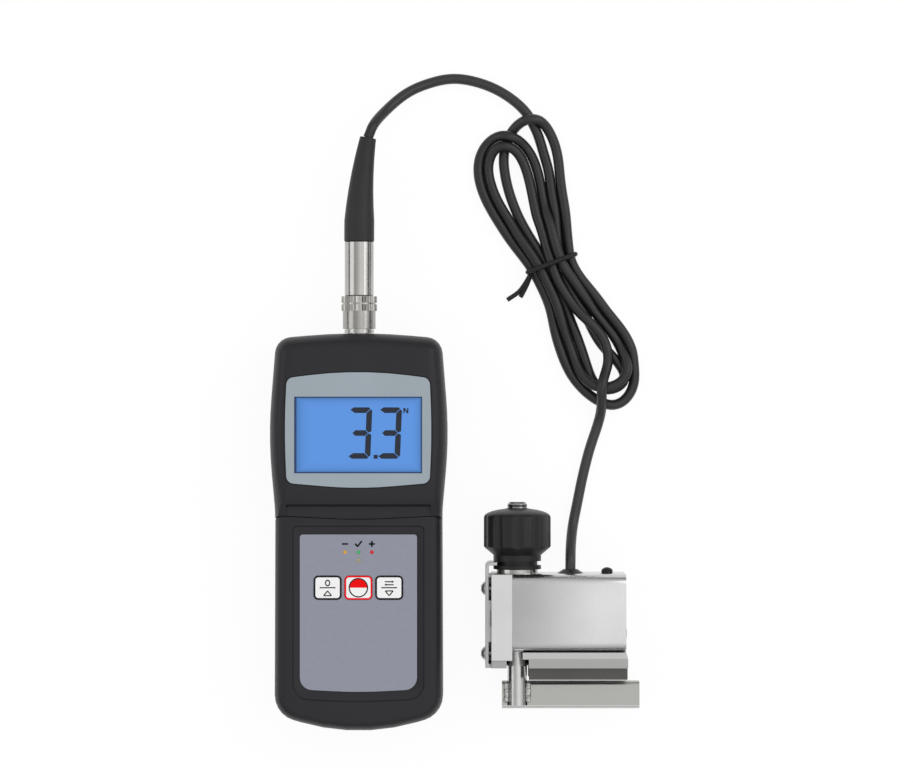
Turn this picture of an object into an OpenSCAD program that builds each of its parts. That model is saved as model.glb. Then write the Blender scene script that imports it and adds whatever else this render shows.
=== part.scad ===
// Belt tension tester: a hand-held meter, a cable in a tied hank and a three-point belt sensor.
// Millimetres. The meter lies on its back at the origin, its display faces +Z and its plug +Y.
// The sensor lies on its back beside it, with its knob towards +Y and its jaw towards -Y.

/* [Meter case] */
// Length of the case
case_l = 161; // [160:1:172]
// Width across the bulge beside the display
case_w = 71.8; // [70:0.2:76]
// Width of the lower half
low_w = 68; // [67.4:0.2:70]
// Thickness at the display
case_t = 32; // [31.5:0.5:36]
// Thickness at the keypad
keypad_t = 28.2; // [27.6:0.1:29.6]
// Wall of the moulded shells
wall = 2.2; // [1.8:0.1:2.4]
// Height of the parting plane above the back
parting_z = 15; // [14:0.5:18]
// Rounding of the back edge
back_round = 5; // [4:0.5:6]
// Width of the front edge rounding beside the display
edge_w = 6; // [4:0.5:7]
// Width of the front edge rounding beside the keypad
low_edge_w = 4.2; // [3:0.2:5]
// Gap of the seam between the two front shells
seam_gap = 0.3; // [0.2:0.05:0.6]
// Diameter of the case screws
case_screw_d = 2.6; // [2.2:0.1:3]

/* [Display] */
// Width of the visible display
lcd_w = 51.4; // [46:0.2:53]
// Height of the visible display
lcd_h = 30.8; // [28:0.2:31.4]
// Width of the display bezel
bezel_w = 58.8; // [58:0.2:60]
// Height of the display bezel
bezel_h = 46.8; // [45:0.2:48]
// Thickness of the bezel plate
bezel_t = 0.6; // [0.4:0.1:0.9]
// Thickness of the display glass
lcd_t = 1.8; // [1.4:0.1:2.2]
// Thickness of the clear window
lens_t = 1.2; // [1:0.1:1.3]

/* [Keypad] */
// Width of the keypad overlay
overlay_w = 47.2; // [44:0.2:49]
// Height of the keypad overlay
overlay_h = 63.2; // [60:0.2:65]
// Thickness of the keypad overlay
overlay_t = 0.5; // [0.3:0.1:0.8]
// Depth of the recess that holds the overlay
recess_depth = 1.2; // [1:0.1:1.5]
// Width of a key
key_w = 11.1; // [10:0.1:11.8]
// Height of a key
key_h = 9.6; // [8:0.1:11]
// Distance between key centres
key_pitch = 12.4; // [12.3:0.1:13.5]
// Press of a key
key_travel = 0.4; // [0.2:0.05:0.5]
// Clearance round a key
key_gap = 0.15; // [0.1:0.05:0.25]
// Diameter of a light
led_d = 1.5; // [1.2:0.1:2]
// Distance between the lights
led_pitch = 5.4; // [4:0.1:6]

/* [Batteries] */
// Diameter of a cell
cell_d = 10.5; // [10.1:0.1:10.5]
// Length of a cell with its button
cell_l = 44.5; // [43.5:0.1:44.6]
// Clearance round the cells
cell_gap = 0.25; // [0.15:0.05:0.4]
// Pressed length of a contact spring
spring_l = 3.4; // [2.8:0.1:4]
// Clearance of the battery cover in its slot
cover_gap = 0.2; // [0.15:0.05:0.4]

/* [Plug] */
// Diameter of the knurled coupling ring
knurl_d = 14.4; // [14:0.1:15.5]
// Diameter of the smooth coupling sleeve
sleeve_d = 13.4; // [13.2:0.1:13.8]
// Diameter of the plug barrel
barrel_d = 11.8; // [11:0.1:12.6]
// Length of the plug barrel
barrel_l = 22.3; // [18:0.1:24]
// Diameter of the socket barrel
socket_d = 9.6; // [9.2:0.1:9.8]
// Running clearance of the coupling ring
ring_gap = 0.08; // [0.05:0.01:0.1]
// Teeth of each knurl band
knurl_teeth = 36; // [24:1:48]

/* [Cable] */
// Diameter of the cable
cable_d = 4.2; // [3.6:0.1:4.6]
// Height of the tied hank
hank_h = 14; // [12:0.5:18]
// Width of the hank at the tie
waist_w = 20.5; // [18:0.5:24]
// Thickness of the tie
tie_t = 1.6; // [1:0.1:2]

/* [Sensor] */
// Depth of the sensor from back to front
sensor_t = 28; // [28:0.5:32]
// Distance from the rod axis to the left face of the block
block_left = 10.6; // [10.4:0.1:13]
// Height of the block
block_h = 34.6; // [34:0.2:36]
// Height of the sheet shell
shell_h = 31.2; // [31:0.1:32]
// Distance from the rod axis to the right end of the shell
shell_right = 43.7; // [43.2:0.5:50]
// Thickness of the sheet shell
shell_t = 1.2; // [0.8:0.1:1.5]
// Thickness of the base plate
base_t = 6.3; // [5:0.1:8]
// Height of the belt supports
support_h = 5; // [3:0.1:5.6]
// Thickness of the belt supports
support_t = 3; // [2:0.1:3]
// Thickness of the knob retainer
retainer_t = 1.4; // [1:0.1:1.5]

/* [Knob and jaw] */
// Diameter of the knob
knob_d = 27.2; // [24:0.2:27.6]
// Diameter of the threaded rod
rod_d = 8; // [7:0.1:8.4]
// Running clearance of the rod
rod_gap = 0.06; // [0.03:0.01:0.1]
// Length of the jaw bar
jaw_l = 55.8; // [50:0.2:62]
// Height of the jaw bar
jaw_h = 11; // [9:0.2:14]
// Depth of the jaw bar
jaw_t = 8; // [7:0.1:8.4]
// Opening between the base plate and the jaw bar
belt_gap = 6.2; // [6.1:0.1:9]
// Space between the jaw bar and each support
jaw_side_gap = 3; // [2:0.1:3.2]

/* [Hidden] */

fit = 0.05;
half_l = case_l / 2;
seam_y = half_l - 74.5;
bulge_y = half_l - 41.5;
lcd_y = half_l - 41.15;
bezel_y = half_l - 39.3;
overlay_top = seam_y - 6.8;
overlay_y = overlay_top - overlay_h / 2;
key_y = overlay_top - 21.4;
led_y = overlay_top - 7.1;
recess_z = keypad_t - recess_depth;
keypad_in = recess_z - 1.8;
board_t = 1.6;
board_top = keypad_in - 3.2;
board_low = board_top - board_t;
front_in = case_t - wall;
bezel_z = case_t - bezel_t - 0.1;
bezel_gap = 0.5;
lcd_low = front_in - lcd_t;
panel_side = 5;
panel_end = 9;
panel_gap = 0.3;
edge_h = case_t - keypad_t + 5.4;
low_edge_h = 7.4;
rail_x = low_w / 2 - 4.9;
rail_top_y = seam_y + 8.6;
switch_h = 1.6;
key_low = board_top + switch_h + key_travel + 0.05;

cell_pitch = cell_d + cell_gap;
contact_t = 0.4;
cover_t = 2.2;
bay_w = 4 * cell_pitch + 0.6;
bay_l = cell_l + spring_l + 2 * contact_t;
bay_low_y = -half_l + 12;
bay_top_y = bay_low_y + bay_l;
bay_floor = cover_t + cover_gap;
bay_ceiling = bay_floor + cell_d + 2 * cell_gap;
cell_z = bay_floor + cell_gap + cell_d / 2;
cover_top_y = bay_top_y + 3;
cover_w = bay_w + 1;
tongue_w = cover_w + 3;
tongue_z = 1.2;
slab_z = 4;

screw_r = case_screw_d / 2;
boss_r = screw_r + 2.4;
high_screw = [26, half_l - 13];
low_screw = [low_w / 2 - 5.4, -half_l + 24];
board_high = [14, half_l - 16];
board_low_spot = [low_w / 2 - 7.4, seam_y - 12];

plug_z = parting_z + 1;
sleeve_y = half_l + 1.7;
sleeve_l = 13.2;
smooth_l = 7.3;
barrel_y = sleeve_y + sleeve_l + 0.1;
boot_y = barrel_y + barrel_l;
socket_r = socket_d / 2;
nose_r = socket_r - 0.85;
neck_r = barrel_d / 2 - 1.9;

sensor_at = [64.2, -17, 0];
axis_z = sensor_t / 2;
shell_left = 2.2;
block_right = 11;
inner_z = shell_t + 0.1;
end_t = 1.4;
end_x = shell_right - end_t;
end_block_l = 8.6;
end_block_x = end_x - end_block_l;
end_screw_y = -shell_h + 6.8;
end_thread = 3.6;
base_thread = 5;
cell_block_y = -shell_h + 5.2;
beam_h = 16;
beam_t = sensor_t - 8;
bolt_r = 2;
bolt_z = 8.6;
base_y = -shell_h - 0.3;
base_low = base_y - base_t;
base_front = 1.5;
base_right = shell_right + 0.8;
base_lip = 2.8;
base_foot = min(base_low, -block_h - 3);
jaw_top = base_low - belt_gap;
jaw_left = 6.2;
jaw_back = axis_z - 6;
support_low = jaw_back - jaw_side_gap - support_t;
support_high = jaw_back + jaw_t + jaw_side_gap;
support_left = rod_d / 2 + 0.6;
stand_off = 1;
grommet_x = 21.6;
grommet_h = 1.6;
shell_screw_x = shell_right - 7.2;
rod_r = rod_d / 2;
bush_r = rod_r + 2;
bush_top = 20;
ring_t = 1.6;
collar_y = ring_t + 0.1;
groove_y = collar_y + 1.5;
groove_w = retainer_t + 0.4;
neck_y = groove_y + groove_w;
tongue_y = groove_y + 0.2;
knob_r = knob_d / 2;
knob_neck_r = 9.7;
groove_r = 8.2;
knob_cone_y = 7.4;
knob_rim_y = 10.6;
knob_shoulder_y = 22.9;
knob_top_y = 26.4;
rod_top = 28.9;
rod_end = jaw_top - jaw_h + 1.4;

// Corner list [x, y, radius] with its mirror image, for an outline that runs anticlockwise
function both_sides(low, right, high) = concat(
  [low],
  right,
  [high],
  [for (i = [len(right) - 1:-1:0]) [-right[i][0], right[i][1], right[i][2]]]
);

function spin(v, angle) = [v[0] * cos(angle) - v[1] * sin(angle), v[0] * sin(angle) + v[1] * cos(angle)];
function unit(v) = v / norm(v);
function flat(corner) = [corner[0], corner[1]];

// Points of one rounded corner, with every side of the outline moved inwards by inset
function corner_points(before, at, after, inset, steps) =
  let (
    come = unit(flat(at) - flat(before)),
    go = unit(flat(after) - flat(at)),
    come_in = spin(come, 90),
    go_in = spin(go, 90),
    turn = atan2(come[0] * go[1] - come[1] * go[0], come * go),
    side = turn < 0 ? -1 : 1,
    place = flat(at) + inset * (come_in + go_in) / (1 + come_in * go_in),
    room = 0.75 * min(norm(flat(at) - flat(before)), norm(flat(after) - flat(at))),
    radius = max(0.3, min(at[2], room / tan(abs(turn) / 2)) - side * inset),
    start = place - come * radius * tan(abs(turn) / 2),
    centre = start + come_in * radius * side
  )
  [for (s = [0:steps]) centre + spin(start - centre, turn * s / steps)];

function outline(corners, inset = 0, steps = 5) =
  let (n = len(corners))
  [
    for (i = [0:n - 1])
      each corner_points(corners[(i + n - 1) % n], corners[i], corners[(i + 1) % n], inset, steps)
  ];

function ring_at(points, z) = [for (p = points) [p[0], p[1], z]];

// A closed skin over rings of points, each ring anticlockwise about the way it goes
module skin(rings) {
  n = len(rings[0]);
  last = len(rings) - 1;
  polyhedron(
    points = [for (ring = rings) each ring],
    faces = concat(
      [[for (i = [0:n - 1]) i]],
      [
        for (k = [0:last - 1])
          for (i = [0:n - 1])
            let (j = (i + 1) % n)
              [k * n + i, (k + 1) * n + i, (k + 1) * n + j, k * n + j]
      ],
      [[for (i = [n - 1:-1:0]) last * n + i]]
    )
  );
}

// The level a little past an end of a loft, on the same slope
function beyond(end, next) =
  let (step = 0.3, rise = abs(next[0] - end[0]))
  [end[0] + step * (end[0] < next[0] ? -1 : 1), end[1] + step * (end[1] - next[1]) / rise];

// A solid through insets of one outline at rising levels [z, inset], cut flat at both ends
module loft(corners, levels) {
  last = len(levels) - 1;
  run = concat(
    [beyond(levels[0], levels[1])],
    [for (i = [1:last - 1]) levels[i]],
    [beyond(levels[last], levels[last - 1])]
  );
  intersection() {
    skin([for (level = run) ring_at(outline(corners, level[1]), level[0])]);
    span([-200, -200, levels[0][0]], [200, 200, levels[last][0]]);
  }
}

// A smooth line through hand-placed points
function along(p, i) =
  let (a = p[max(i - 1, 0)], b = p[min(i + 1, len(p) - 1)])
  (b - a) / 2;
function smooth_line(p, steps) = concat(
  [
    for (i = [0:len(p) - 2])
      for (s = [0:steps - 1])
        let (t = s / steps, a = along(p, i), b = along(p, i + 1))
          p[i] * (2 * pow(t, 3) - 3 * pow(t, 2) + 1) + a * (pow(t, 3) - 2 * pow(t, 2) + t)
            + p[i + 1] * (3 * pow(t, 2) - 2 * pow(t, 3)) + b * (pow(t, 3) - pow(t, 2))
  ],
  [p[len(p) - 1]]
);

// A round tube along a line; radii gives one radius for each point of the line
module sweep(line, radii, up, sides) {
  skin([
    for (i = [0:len(line) - 1])
      let (
        way = unit(along(line, i)),
        right = unit(cross(way, up)),
        over = cross(way, right)
      )
        [
          for (s = [0:sides - 1])
            line[i] + radii[i] * (cos(360 * s / sides) * right + sin(360 * s / sides) * over)
        ]
  ]);
}

// Heights and insets of a shell whose front edge is rounded over width w and height h
function edge_levels(low, top, inset, w, h) = concat(
  [[low, inset]],
  [for (a = [0:15:90]) [top - h + h * sin(a), inset + w * (1 - cos(a))]]
);

function back_levels(low, top, inset, r) = concat(
  [for (a = [0:22.5:90]) [low + r * (1 - cos(a)), inset + r * (1 - sin(a))]],
  [[top, inset]]
);

module along_y(x, y, z) {
  translate([x, y, z])
    rotate([-90, 0, 0])
      children();
}

module along_x(x, y, z) {
  translate([x, y, z])
    rotate([0, 90, 0])
      children();
}

// A box given by its low and high corner
module span(low, high) {
  translate(low)
    cube(high - low);
}

module mirrored_x() {
  for (side = [-1, 1])
    scale([side, 1, 1])
      children();
}

case_corners = both_sides(
  [0, -half_l - 3.35, 84],
  [
    [low_w / 2 + 0.1, -half_l + 6.6, 10.5],
    [low_w / 2 - 0.2, seam_y + 2.5, 60],
    [case_w / 2 + 0.65, bulge_y, 180],
    [low_w / 2 - 0.6, half_l - 2.2, 6.8],
  ],
  [0, half_l + 0.7, 238]
);

seam_corners = both_sides(
  [0, -half_l - 40, 20],
  [
    [low_w, -half_l - 40, 5],
    [low_w, seam_y - 20, 3],
    [low_w / 2 + 0.25, seam_y - 9, 8],
    [low_w / 2 + 0.25, seam_y + 0.7, 3.2],
  ],
  [0, seam_y - 1.1, 250]
);

bezel_corners = both_sides(
  [0, -bezel_h / 2 - 0.2, 160],
  [
    [bezel_w / 2 - 0.7, -bezel_h / 2 + 2.25, 3],
    [bezel_w / 2 + 0.3, 0, 300],
    [bezel_w / 2 - 0.7, bezel_h / 2 - 2.4, 3],
  ],
  [0, bezel_h / 2 + 1.18, 160]
);

// Corners of the overlay, grown by a side, top and bottom margin
function overlay_corners(side, high, low) = both_sides(
  [0, -overlay_h / 2 - low - 0.4, 200],
  [
    [overlay_w / 2 + side, -overlay_h / 2 - low + 0.8, 5 + side / 2],
    [overlay_w / 2 + side, overlay_h / 2 + high, 1.2 + side / 5],
  ],
  [0, overlay_h / 2 + high + 0.01, 60]
);

module case_back_outside() {
  loft(case_corners, back_levels(0, parting_z, 0, back_round));
}

module display_shell_outside() {
  loft(case_corners, edge_levels(parting_z, case_t, 0, edge_w, edge_h));
}

module keypad_shell_outside() {
  loft(case_corners, edge_levels(parting_z, keypad_t, 0, low_edge_w, low_edge_h));
}

module seam_side(grow, high) {
  translate([0, 0, parting_z - 2])
    linear_extrude(high - parting_z + 4)
      polygon(outline(seam_corners, -grow));
}

module case_spots(spots) {
  for (spot = spots)
    mirrored_x()
      translate([spot[0], spot[1], 0])
        children();
}

module socket_hole() {
  along_y(0, half_l - 20, plug_z)
    cylinder(r = socket_r + fit, h = 40, $fn = 48);
}

// The slot of the battery cover; grow adds the clearance
module cover_profile(grow, top_y, top_z) {
  span([-cover_w / 2 - grow, -half_l - 20, -5], [cover_w / 2 + grow, top_y + grow, tongue_z + fit]);
  span(
    [-tongue_w / 2 - grow, -half_l - 20, tongue_z - grow],
    [tongue_w / 2 + grow, top_y + grow, top_z]
  );
}

module rear_case() {
  color([0.16, 0.16, 0.17])
    difference() {
      union() {
        difference() {
          case_back_outside();
          loft(case_corners, back_levels(wall, parting_z + 1, wall, back_round - wall));
        }
        span(
          [-tongue_w / 2 - 2, -half_l + 11, wall - 1],
          [tongue_w / 2 + 2, cover_top_y + 3, slab_z]
        );
        span(
          [-bay_w / 2 - 1.5, bay_low_y - 1.5, wall - 1],
          [bay_w / 2 + 1.5, bay_top_y + 1.5, bay_ceiling + 1.2]
        );
        case_spots([high_screw, low_screw])
          translate([0, 0, wall - 1])
            cylinder(r = boss_r, h = parting_z - wall + 1, $fn = 32);
      }
      span([-bay_w / 2, bay_low_y, -1], [bay_w / 2, bay_top_y, bay_ceiling]);
      cover_profile(cover_gap, cover_top_y, bay_floor);
      case_spots([high_screw, low_screw]) {
        translate([0, 0, -1])
          cylinder(r = screw_r + fit, h = parting_z + 2, $fn = 32);
        translate([0, 0, -1])
          cylinder(r = screw_r + 1.4, h = 6, $fn = 32);
      }
      socket_hole();
    }
}

module screw_boss(spot, low, high, pilot_r, pilot_top) {
  case_spots([spot])
    translate([0, 0, low])
      difference() {
        cylinder(r = boss_r, h = high - low, $fn = 32);
        translate([0, 0, -1])
          cylinder(r = pilot_r, h = pilot_top - low + 1, $fn = 32);
      }
}

// What is cut off above a sloping line that runs across the case
module above_slope(half_w, line) {
  translate([-half_w, 0, 0])
    rotate([90, 0, 90])
      linear_extrude(2 * half_w)
        polygon(concat(line, [[line[2][0], case_t + 5], [line[0][0], case_t + 5]]));
}

// The display face steps down to the seam between two side rails, which fall more gently
module seam_slope() {
  above_slope(case_w, [
    [seam_y - 9, keypad_t + 0.1],
    [seam_y + 0.5, keypad_t + 0.4],
    [rail_top_y, case_t + 0.01],
  ]);
  above_slope(rail_x, [
    [seam_y - 9, keypad_t + 0.05],
    [seam_y + 4.5, keypad_t + 0.6],
    [seam_y + 6.1, case_t + 0.01],
  ]);
}

module display_shell_inside() {
  difference() {
    loft(case_corners, edge_levels(parting_z - 1, front_in, wall, edge_w - wall / 2, edge_h - wall / 2));
    span([-case_w, -case_l, keypad_t - wall], [case_w, rail_top_y + 1, case_t + 5]);
  }
}

module upper_front_case() {
  color([0.17, 0.17, 0.18])
    difference() {
      union() {
        difference() {
          display_shell_outside();
          seam_side(seam_gap, case_t);
          seam_slope();
          display_shell_inside();
        }
        screw_boss(high_screw, parting_z, front_in + 0.5, screw_r + fit, parting_z + 7);
        screw_boss(board_high, board_top, front_in + 0.5, screw_r + fit, board_top + 5);
      }
      translate([0, bezel_y, bezel_z])
        linear_extrude(5)
          polygon(outline(bezel_corners, -bezel_gap));
      span(
        [-lcd_w / 2 - 0.7, lcd_y - lcd_h / 2 - 0.7, front_in - 1],
        [lcd_w / 2 + 0.7, lcd_y + lcd_h / 2 + 0.7, case_t + 1]
      );
      lcd_slab(panel_side + panel_gap, panel_end + panel_gap, lcd_low - 0.5, front_in + 0.02);
      socket_hole();
    }
}

module key_spot(place) {
  translate([(place - 1) * key_pitch, key_y, 0])
    children();
}

key_corners = [for (c = [[-1, -1], [1, -1], [1, 1], [-1, 1]]) [c[0] * key_w / 2, c[1] * key_h / 2, 1.8]];

module key_prism(grow, low, high) {
  translate([0, 0, low])
    linear_extrude(high - low)
      polygon(outline(key_corners, -grow));
}

module light_holes(low, high) {
  for (i = [-1:1])
    translate([i * led_pitch, led_y, low])
      cylinder(d = led_d + 2 * fit, h = high - low, $fn = 24);
  translate([0, led_y - 3.3, low])
    cylinder(d = led_d + 0.5 + 2 * fit, h = high - low, $fn = 24);
}

module overlay_recess() {
  intersection() {
    translate([0, overlay_y, 0])
      skin([
        ring_at(outline(overlay_corners(0.2, 0.2, 0.2)), recess_z - 1),
        ring_at(outline(overlay_corners(0.2, 0.2, 0.2)), recess_z + 0.2),
        ring_at(outline(overlay_corners(1.4, 1.8, 2)), keypad_t - 0.6),
        ring_at(outline(overlay_corners(2.6, 3.1, 3.6)), keypad_t - 0.5),
        ring_at(outline(overlay_corners(3.3, 4.1, 4.6)), keypad_t + 0.5),
      ]);
    span([-case_w, -case_l, recess_z], [case_w, case_l, keypad_t + 0.4]);
  }
}

module lower_front_case() {
  color([0.17, 0.17, 0.18])
    difference() {
      union() {
        intersection() {
          difference() {
            keypad_shell_outside();
            loft(
              case_corners,
              edge_levels(parting_z - 1, keypad_in, wall, low_edge_w - wall / 2, low_edge_h - wall / 2)
            );
          }
          seam_side(0, keypad_t);
        }
        screw_boss(low_screw, parting_z, keypad_in + 0.5, screw_r + fit, parting_z + 7);
        screw_boss(board_low_spot, board_top, keypad_in + 0.5, screw_r + fit, keypad_in - 0.2);
      }
      overlay_recess();
      for (place = [0:2])
        key_spot(place)
          key_prism(key_gap, keypad_in - 1, recess_z + 1);
      light_holes(keypad_in - 1, recess_z + 1);
    }
}

module case_screws() {
  color([0.55, 0.55, 0.56])
    case_spots([high_screw, low_screw]) {
      translate([0, 0, 3.2])
        cylinder(r = screw_r + 1.2, h = 1.8, $fn = 32);
      translate([0, 0, 5])
        cylinder(r = screw_r, h = parting_z + 1, $fn = 32);
    }
}

module display_bezel() {
  color([0.62, 0.66, 0.68])
    translate([0, bezel_y, bezel_z])
      linear_extrude(bezel_t)
        difference() {
          polygon(outline(bezel_corners));
          translate([0, lcd_y - bezel_y])
            square([lcd_w, lcd_h], center = true);
        }
}

module lcd_slab(grow_x, grow_y, low, high) {
  translate([0, lcd_y, (low + high) / 2])
    cube([lcd_w + grow_x, lcd_h + grow_y, high - low], center = true);
}

module display_window() {
  color([0.8, 0.9, 1, 0.4])
    lcd_slab(1.2, 1.2, bezel_z - lens_t, bezel_z);
}

module lcd_panel() {
  color([0.3, 0.55, 0.85])
    lcd_slab(panel_side, panel_end, lcd_low, front_in);
}

module lcd_backlight() {
  color([0.9, 0.92, 0.95])
    lcd_slab(3, 1, lcd_low - 2.8, lcd_low);
}

module lcd_frame() {
  color([0.85, 0.85, 0.83])
    difference() {
      lcd_slab(7, 11, board_top, lcd_low);
      lcd_slab(3.4, 1.4, board_top - 1, lcd_low + 1);
      for (side = [-1, 1])
        translate([0, side * (lcd_h / 2 + 2.9), 0])
          lcd_slab(0.4, 2.4 - lcd_h, board_top - 1, lcd_low + 1);
    }
}

module lcd_strips() {
  color([0.2, 0.2, 0.22])
    for (side = [-1, 1])
      translate([0, side * (lcd_h / 2 + 2.9), 0])
        lcd_slab(0, 2 - lcd_h, board_top, lcd_low);
}

module main_board() {
  color([0.1, 0.35, 0.2])
    difference() {
      translate([0, 0, board_low])
        linear_extrude(board_t)
          intersection() {
            polygon(outline(case_corners, max(wall, low_edge_w) + 1.2));
            union() {
              translate([-case_w / 2, -half_l + 12])
                square([case_w, case_l - 32]);
              translate([-board_high[0] - 5, 0])
                square([2 * board_high[0] + 10, half_l - 12.4]);
            }
          }
      case_spots([low_screw])
        translate([0, 0, board_low - 1])
          cylinder(r = boss_r + 0.4, h = board_t + 2, $fn = 32);
      case_spots([board_high, board_low_spot])
        translate([0, 0, board_low - 1])
          cylinder(r = screw_r + fit, h = board_t + 2, $fn = 32);
    }
}

// A chip body with its lead block, hanging under the board
module chip(x, y, w, l, h) {
  span([x - w / 2, y - l / 2, board_low - h], [x + w / 2, y + l / 2, board_low]);
}

module board_components() {
  color([0.12, 0.12, 0.13]) {
    chip(0, lcd_y, 12, 12, 1.6);
    chip(-15, lcd_y - 4, 7, 10, 1.5);
    chip(14, lcd_y + 6, 5, 6, 1.5);
    chip(14, lcd_y - 8, 4, 11, 3);
    chip(-12, seam_y, 9, 7, 2.2);
    for (i = [0:4])
      chip(-8 + 4 * i, seam_y - 10, 1.4, 2.4, 0.8);
    translate([10, seam_y, board_low - 4.5])
      cylinder(d = 6.3, h = 4.5, $fn = 32);
  }
}

module board_screws() {
  color([0.6, 0.6, 0.6])
    case_spots([board_high, board_low_spot]) {
      translate([0, 0, board_low - 1.4])
        cylinder(r = screw_r + 1.1, h = 1.4, $fn = 32);
      translate([0, 0, board_low - 0.1])
        cylinder(r = screw_r, h = board_t + 2.4, $fn = 32);
    }
}

module keypad_overlay() {
  color([0.37, 0.37, 0.42])
    difference() {
      translate([0, overlay_y, recess_z])
        linear_extrude(overlay_t)
          polygon(outline(overlay_corners(0, 0, 0)));
      for (place = [0:2])
        key_spot(place)
          key_prism(key_gap, recess_z - 1, recess_z + 2);
      light_holes(recess_z - 1, recess_z + 2);
    }
}

module key(place) {
  key_spot(place) {
    key_prism(0, key_low, recess_z + overlay_t + 0.3);
    intersection() {
      key_prism(1, key_low, keypad_in - 0.05);
      span([-key_pitch / 2 + 0.15, -key_h, 0], [key_pitch / 2 - 0.15, key_h, case_t]);
    }
  }
}

module key_zero() {
  color([0.92, 0.92, 0.9])
    key(0);
}

module key_power() {
  color([0.85, 0.1, 0.12])
    key(1);
}

module key_unit() {
  color([0.92, 0.92, 0.9])
    key(2);
}

module key_switches() {
  color([0.7, 0.7, 0.68])
    for (place = [0:2])
      key_spot(place) {
        span([-3, -3, board_top], [3, 3, board_top + 0.9]);
        translate([0, 0, board_top + 0.8])
          cylinder(d = 3.4, h = switch_h - 0.8, $fn = 32);
      }
}

module light(x, y, d) {
  translate([x, y, board_top]) {
    span([-1.2, -1.2, 0], [1.2, 1.2, 1.2]);
    cylinder(d = d, h = recess_z + overlay_t - board_top, $fn = 24);
  }
}

module light_low() {
  color([0.85, 0.6, 0.2])
    light(-led_pitch, led_y, led_d);
}

module light_good() {
  color([0.2, 0.65, 0.35])
    light(0, led_y, led_d);
}

module light_high() {
  color([0.8, 0.1, 0.15])
    light(led_pitch, led_y, led_d);
}

module light_status() {
  color([0.75, 0.65, 0.35])
    light(0, led_y - 3.3, led_d + 0.5);
}

module battery_cover() {
  color([0.15, 0.15, 0.16])
    difference() {
      intersection() {
        loft(case_corners, back_levels(0.15, parting_z, 0.1, back_round - 0.1));
        cover_profile(0, cover_top_y, cover_t);
      }
      for (i = [0:4])
        span([-8, bay_low_y + 2 + 2 * i, -1], [8, bay_low_y + 3 + 2 * i, 0.75]);
    }
}

function cell_x(i) = (i - 1.5) * cell_pitch;
function cell_way(i) = i % 2 == 0 ? 1 : -1;

// Each cell in its own frame, button towards +Y, spring towards -Y
module cell_frame(i) {
  translate([cell_x(i), (bay_low_y + bay_top_y) / 2, cell_z])
    rotate([0, 0, cell_way(i) > 0 ? 0 : 180])
      children();
}

module battery_cells() {
  color([0.75, 0.55, 0.2])
    for (i = [0:3])
      cell_frame(i) {
        along_y(0, -bay_l / 2 + contact_t + spring_l, 0)
          cylinder(d = cell_d, h = cell_l - 1, $fn = 48);
        along_y(0, bay_l / 2 - contact_t - 1.1, 0)
          cylinder(d = 3.8, h = 1.1, $fn = 32);
      }
}

module battery_springs() {
  spring_turns = 3;
  spring_rings = 24;
  wire_r = 0.4;
  rise = spring_l - 2 * wire_r;
  spring = [
    for (s = [0:spring_rings])
      let (t = s / spring_rings, r = 4 - 1.6 * t, a = 360 * spring_turns * t)
        [r * cos(a), -bay_l / 2 + contact_t + wire_r + rise * t, r * sin(a)]
  ];
  color([0.75, 0.75, 0.76])
    for (i = [0:3])
      cell_frame(i)
        sweep(spring, [for (p = spring) wire_r], [0, 1, 0], 5);
}

module battery_contacts() {
  color([0.75, 0.75, 0.76])
    for (i = [0:3])
      for (end_y = [-bay_l / 2, bay_l / 2 - contact_t])
        cell_frame(i)
          span([-4.6, end_y, -4.6], [4.6, end_y + contact_t, 4.6]);
}

module meter_socket() {
  color([0.8, 0.8, 0.8])
    along_y(0, 0, plug_z)
      rotate_extrude($fn = 64)
        polygon([
          [nose_r + 0.1, half_l + 2],
          [nose_r + 0.1, sleeve_y + 9.5],
          [socket_r, sleeve_y + 9.5],
          [socket_r, half_l - wall - 2.7],
          [socket_r + 0.7, half_l - wall - 2.7],
          [socket_r + 0.7, half_l - wall - 9],
          [0, half_l - wall - 9],
          [0, half_l + 2],
        ]);
}

module socket_nut() {
  color([0.82, 0.82, 0.82])
    along_y(0, 0, plug_z) {
      translate([0, 0, half_l + 0.05])
        difference() {
          cylinder(d = 12, h = 1.4, $fn = 48);
          translate([0, 0, -1])
            cylinder(r = socket_r + fit, h = 5, $fn = 48);
        }
      translate([0, 0, half_l - wall - 2.6])
        difference() {
          cylinder(r = 6.6, h = 2.2, $fn = 6);
          translate([0, 0, -1])
            cylinder(r = socket_r + fit, h = 5, $fn = 48);
        }
    }
}

module plug_shell() {
  color([0.83, 0.83, 0.82])
    along_y(0, 0, plug_z)
      rotate_extrude($fn = 64)
        polygon([
          [0, half_l + 3],
          [nose_r, half_l + 3],
          [nose_r, sleeve_y + 9.7],
          [neck_r, sleeve_y + 9.7],
          [neck_r, barrel_y],
          [barrel_d / 2 - 0.4, barrel_y],
          [barrel_d / 2, barrel_y + 0.4],
          [barrel_d / 2, boot_y - 0.4],
          [barrel_d / 2 - 0.4, boot_y],
          [0, boot_y],
        ]);
}

module coupling_ring() {
  band = (sleeve_l - smooth_l - 0.6) / 2;
  color([0.84, 0.84, 0.83])
    along_y(0, sleeve_y, plug_z)
      difference() {
        union() {
          cylinder(d = sleeve_d, h = sleeve_l, $fn = 64);
          for (start = [smooth_l, smooth_l + band + 0.6])
            translate([0, 0, start])
              linear_extrude(band)
                polygon([
                  for (i = [0:2 * knurl_teeth - 1])
                    (knurl_d / 2 - (i % 2) * 0.35)
                      * [cos(180 * i / knurl_teeth), sin(180 * i / knurl_teeth)]
                ]);
        }
        translate([0, 0, -1])
          cylinder(d = sleeve_d - 1.2, h = 5, $fn = 64);
        translate([0, 0, -1])
          cylinder(r = socket_r + ring_gap, h = 10.7, $fn = 64);
        cylinder(r = neck_r + ring_gap, h = sleeve_l + 1, $fn = 64);
      }
}

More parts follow.
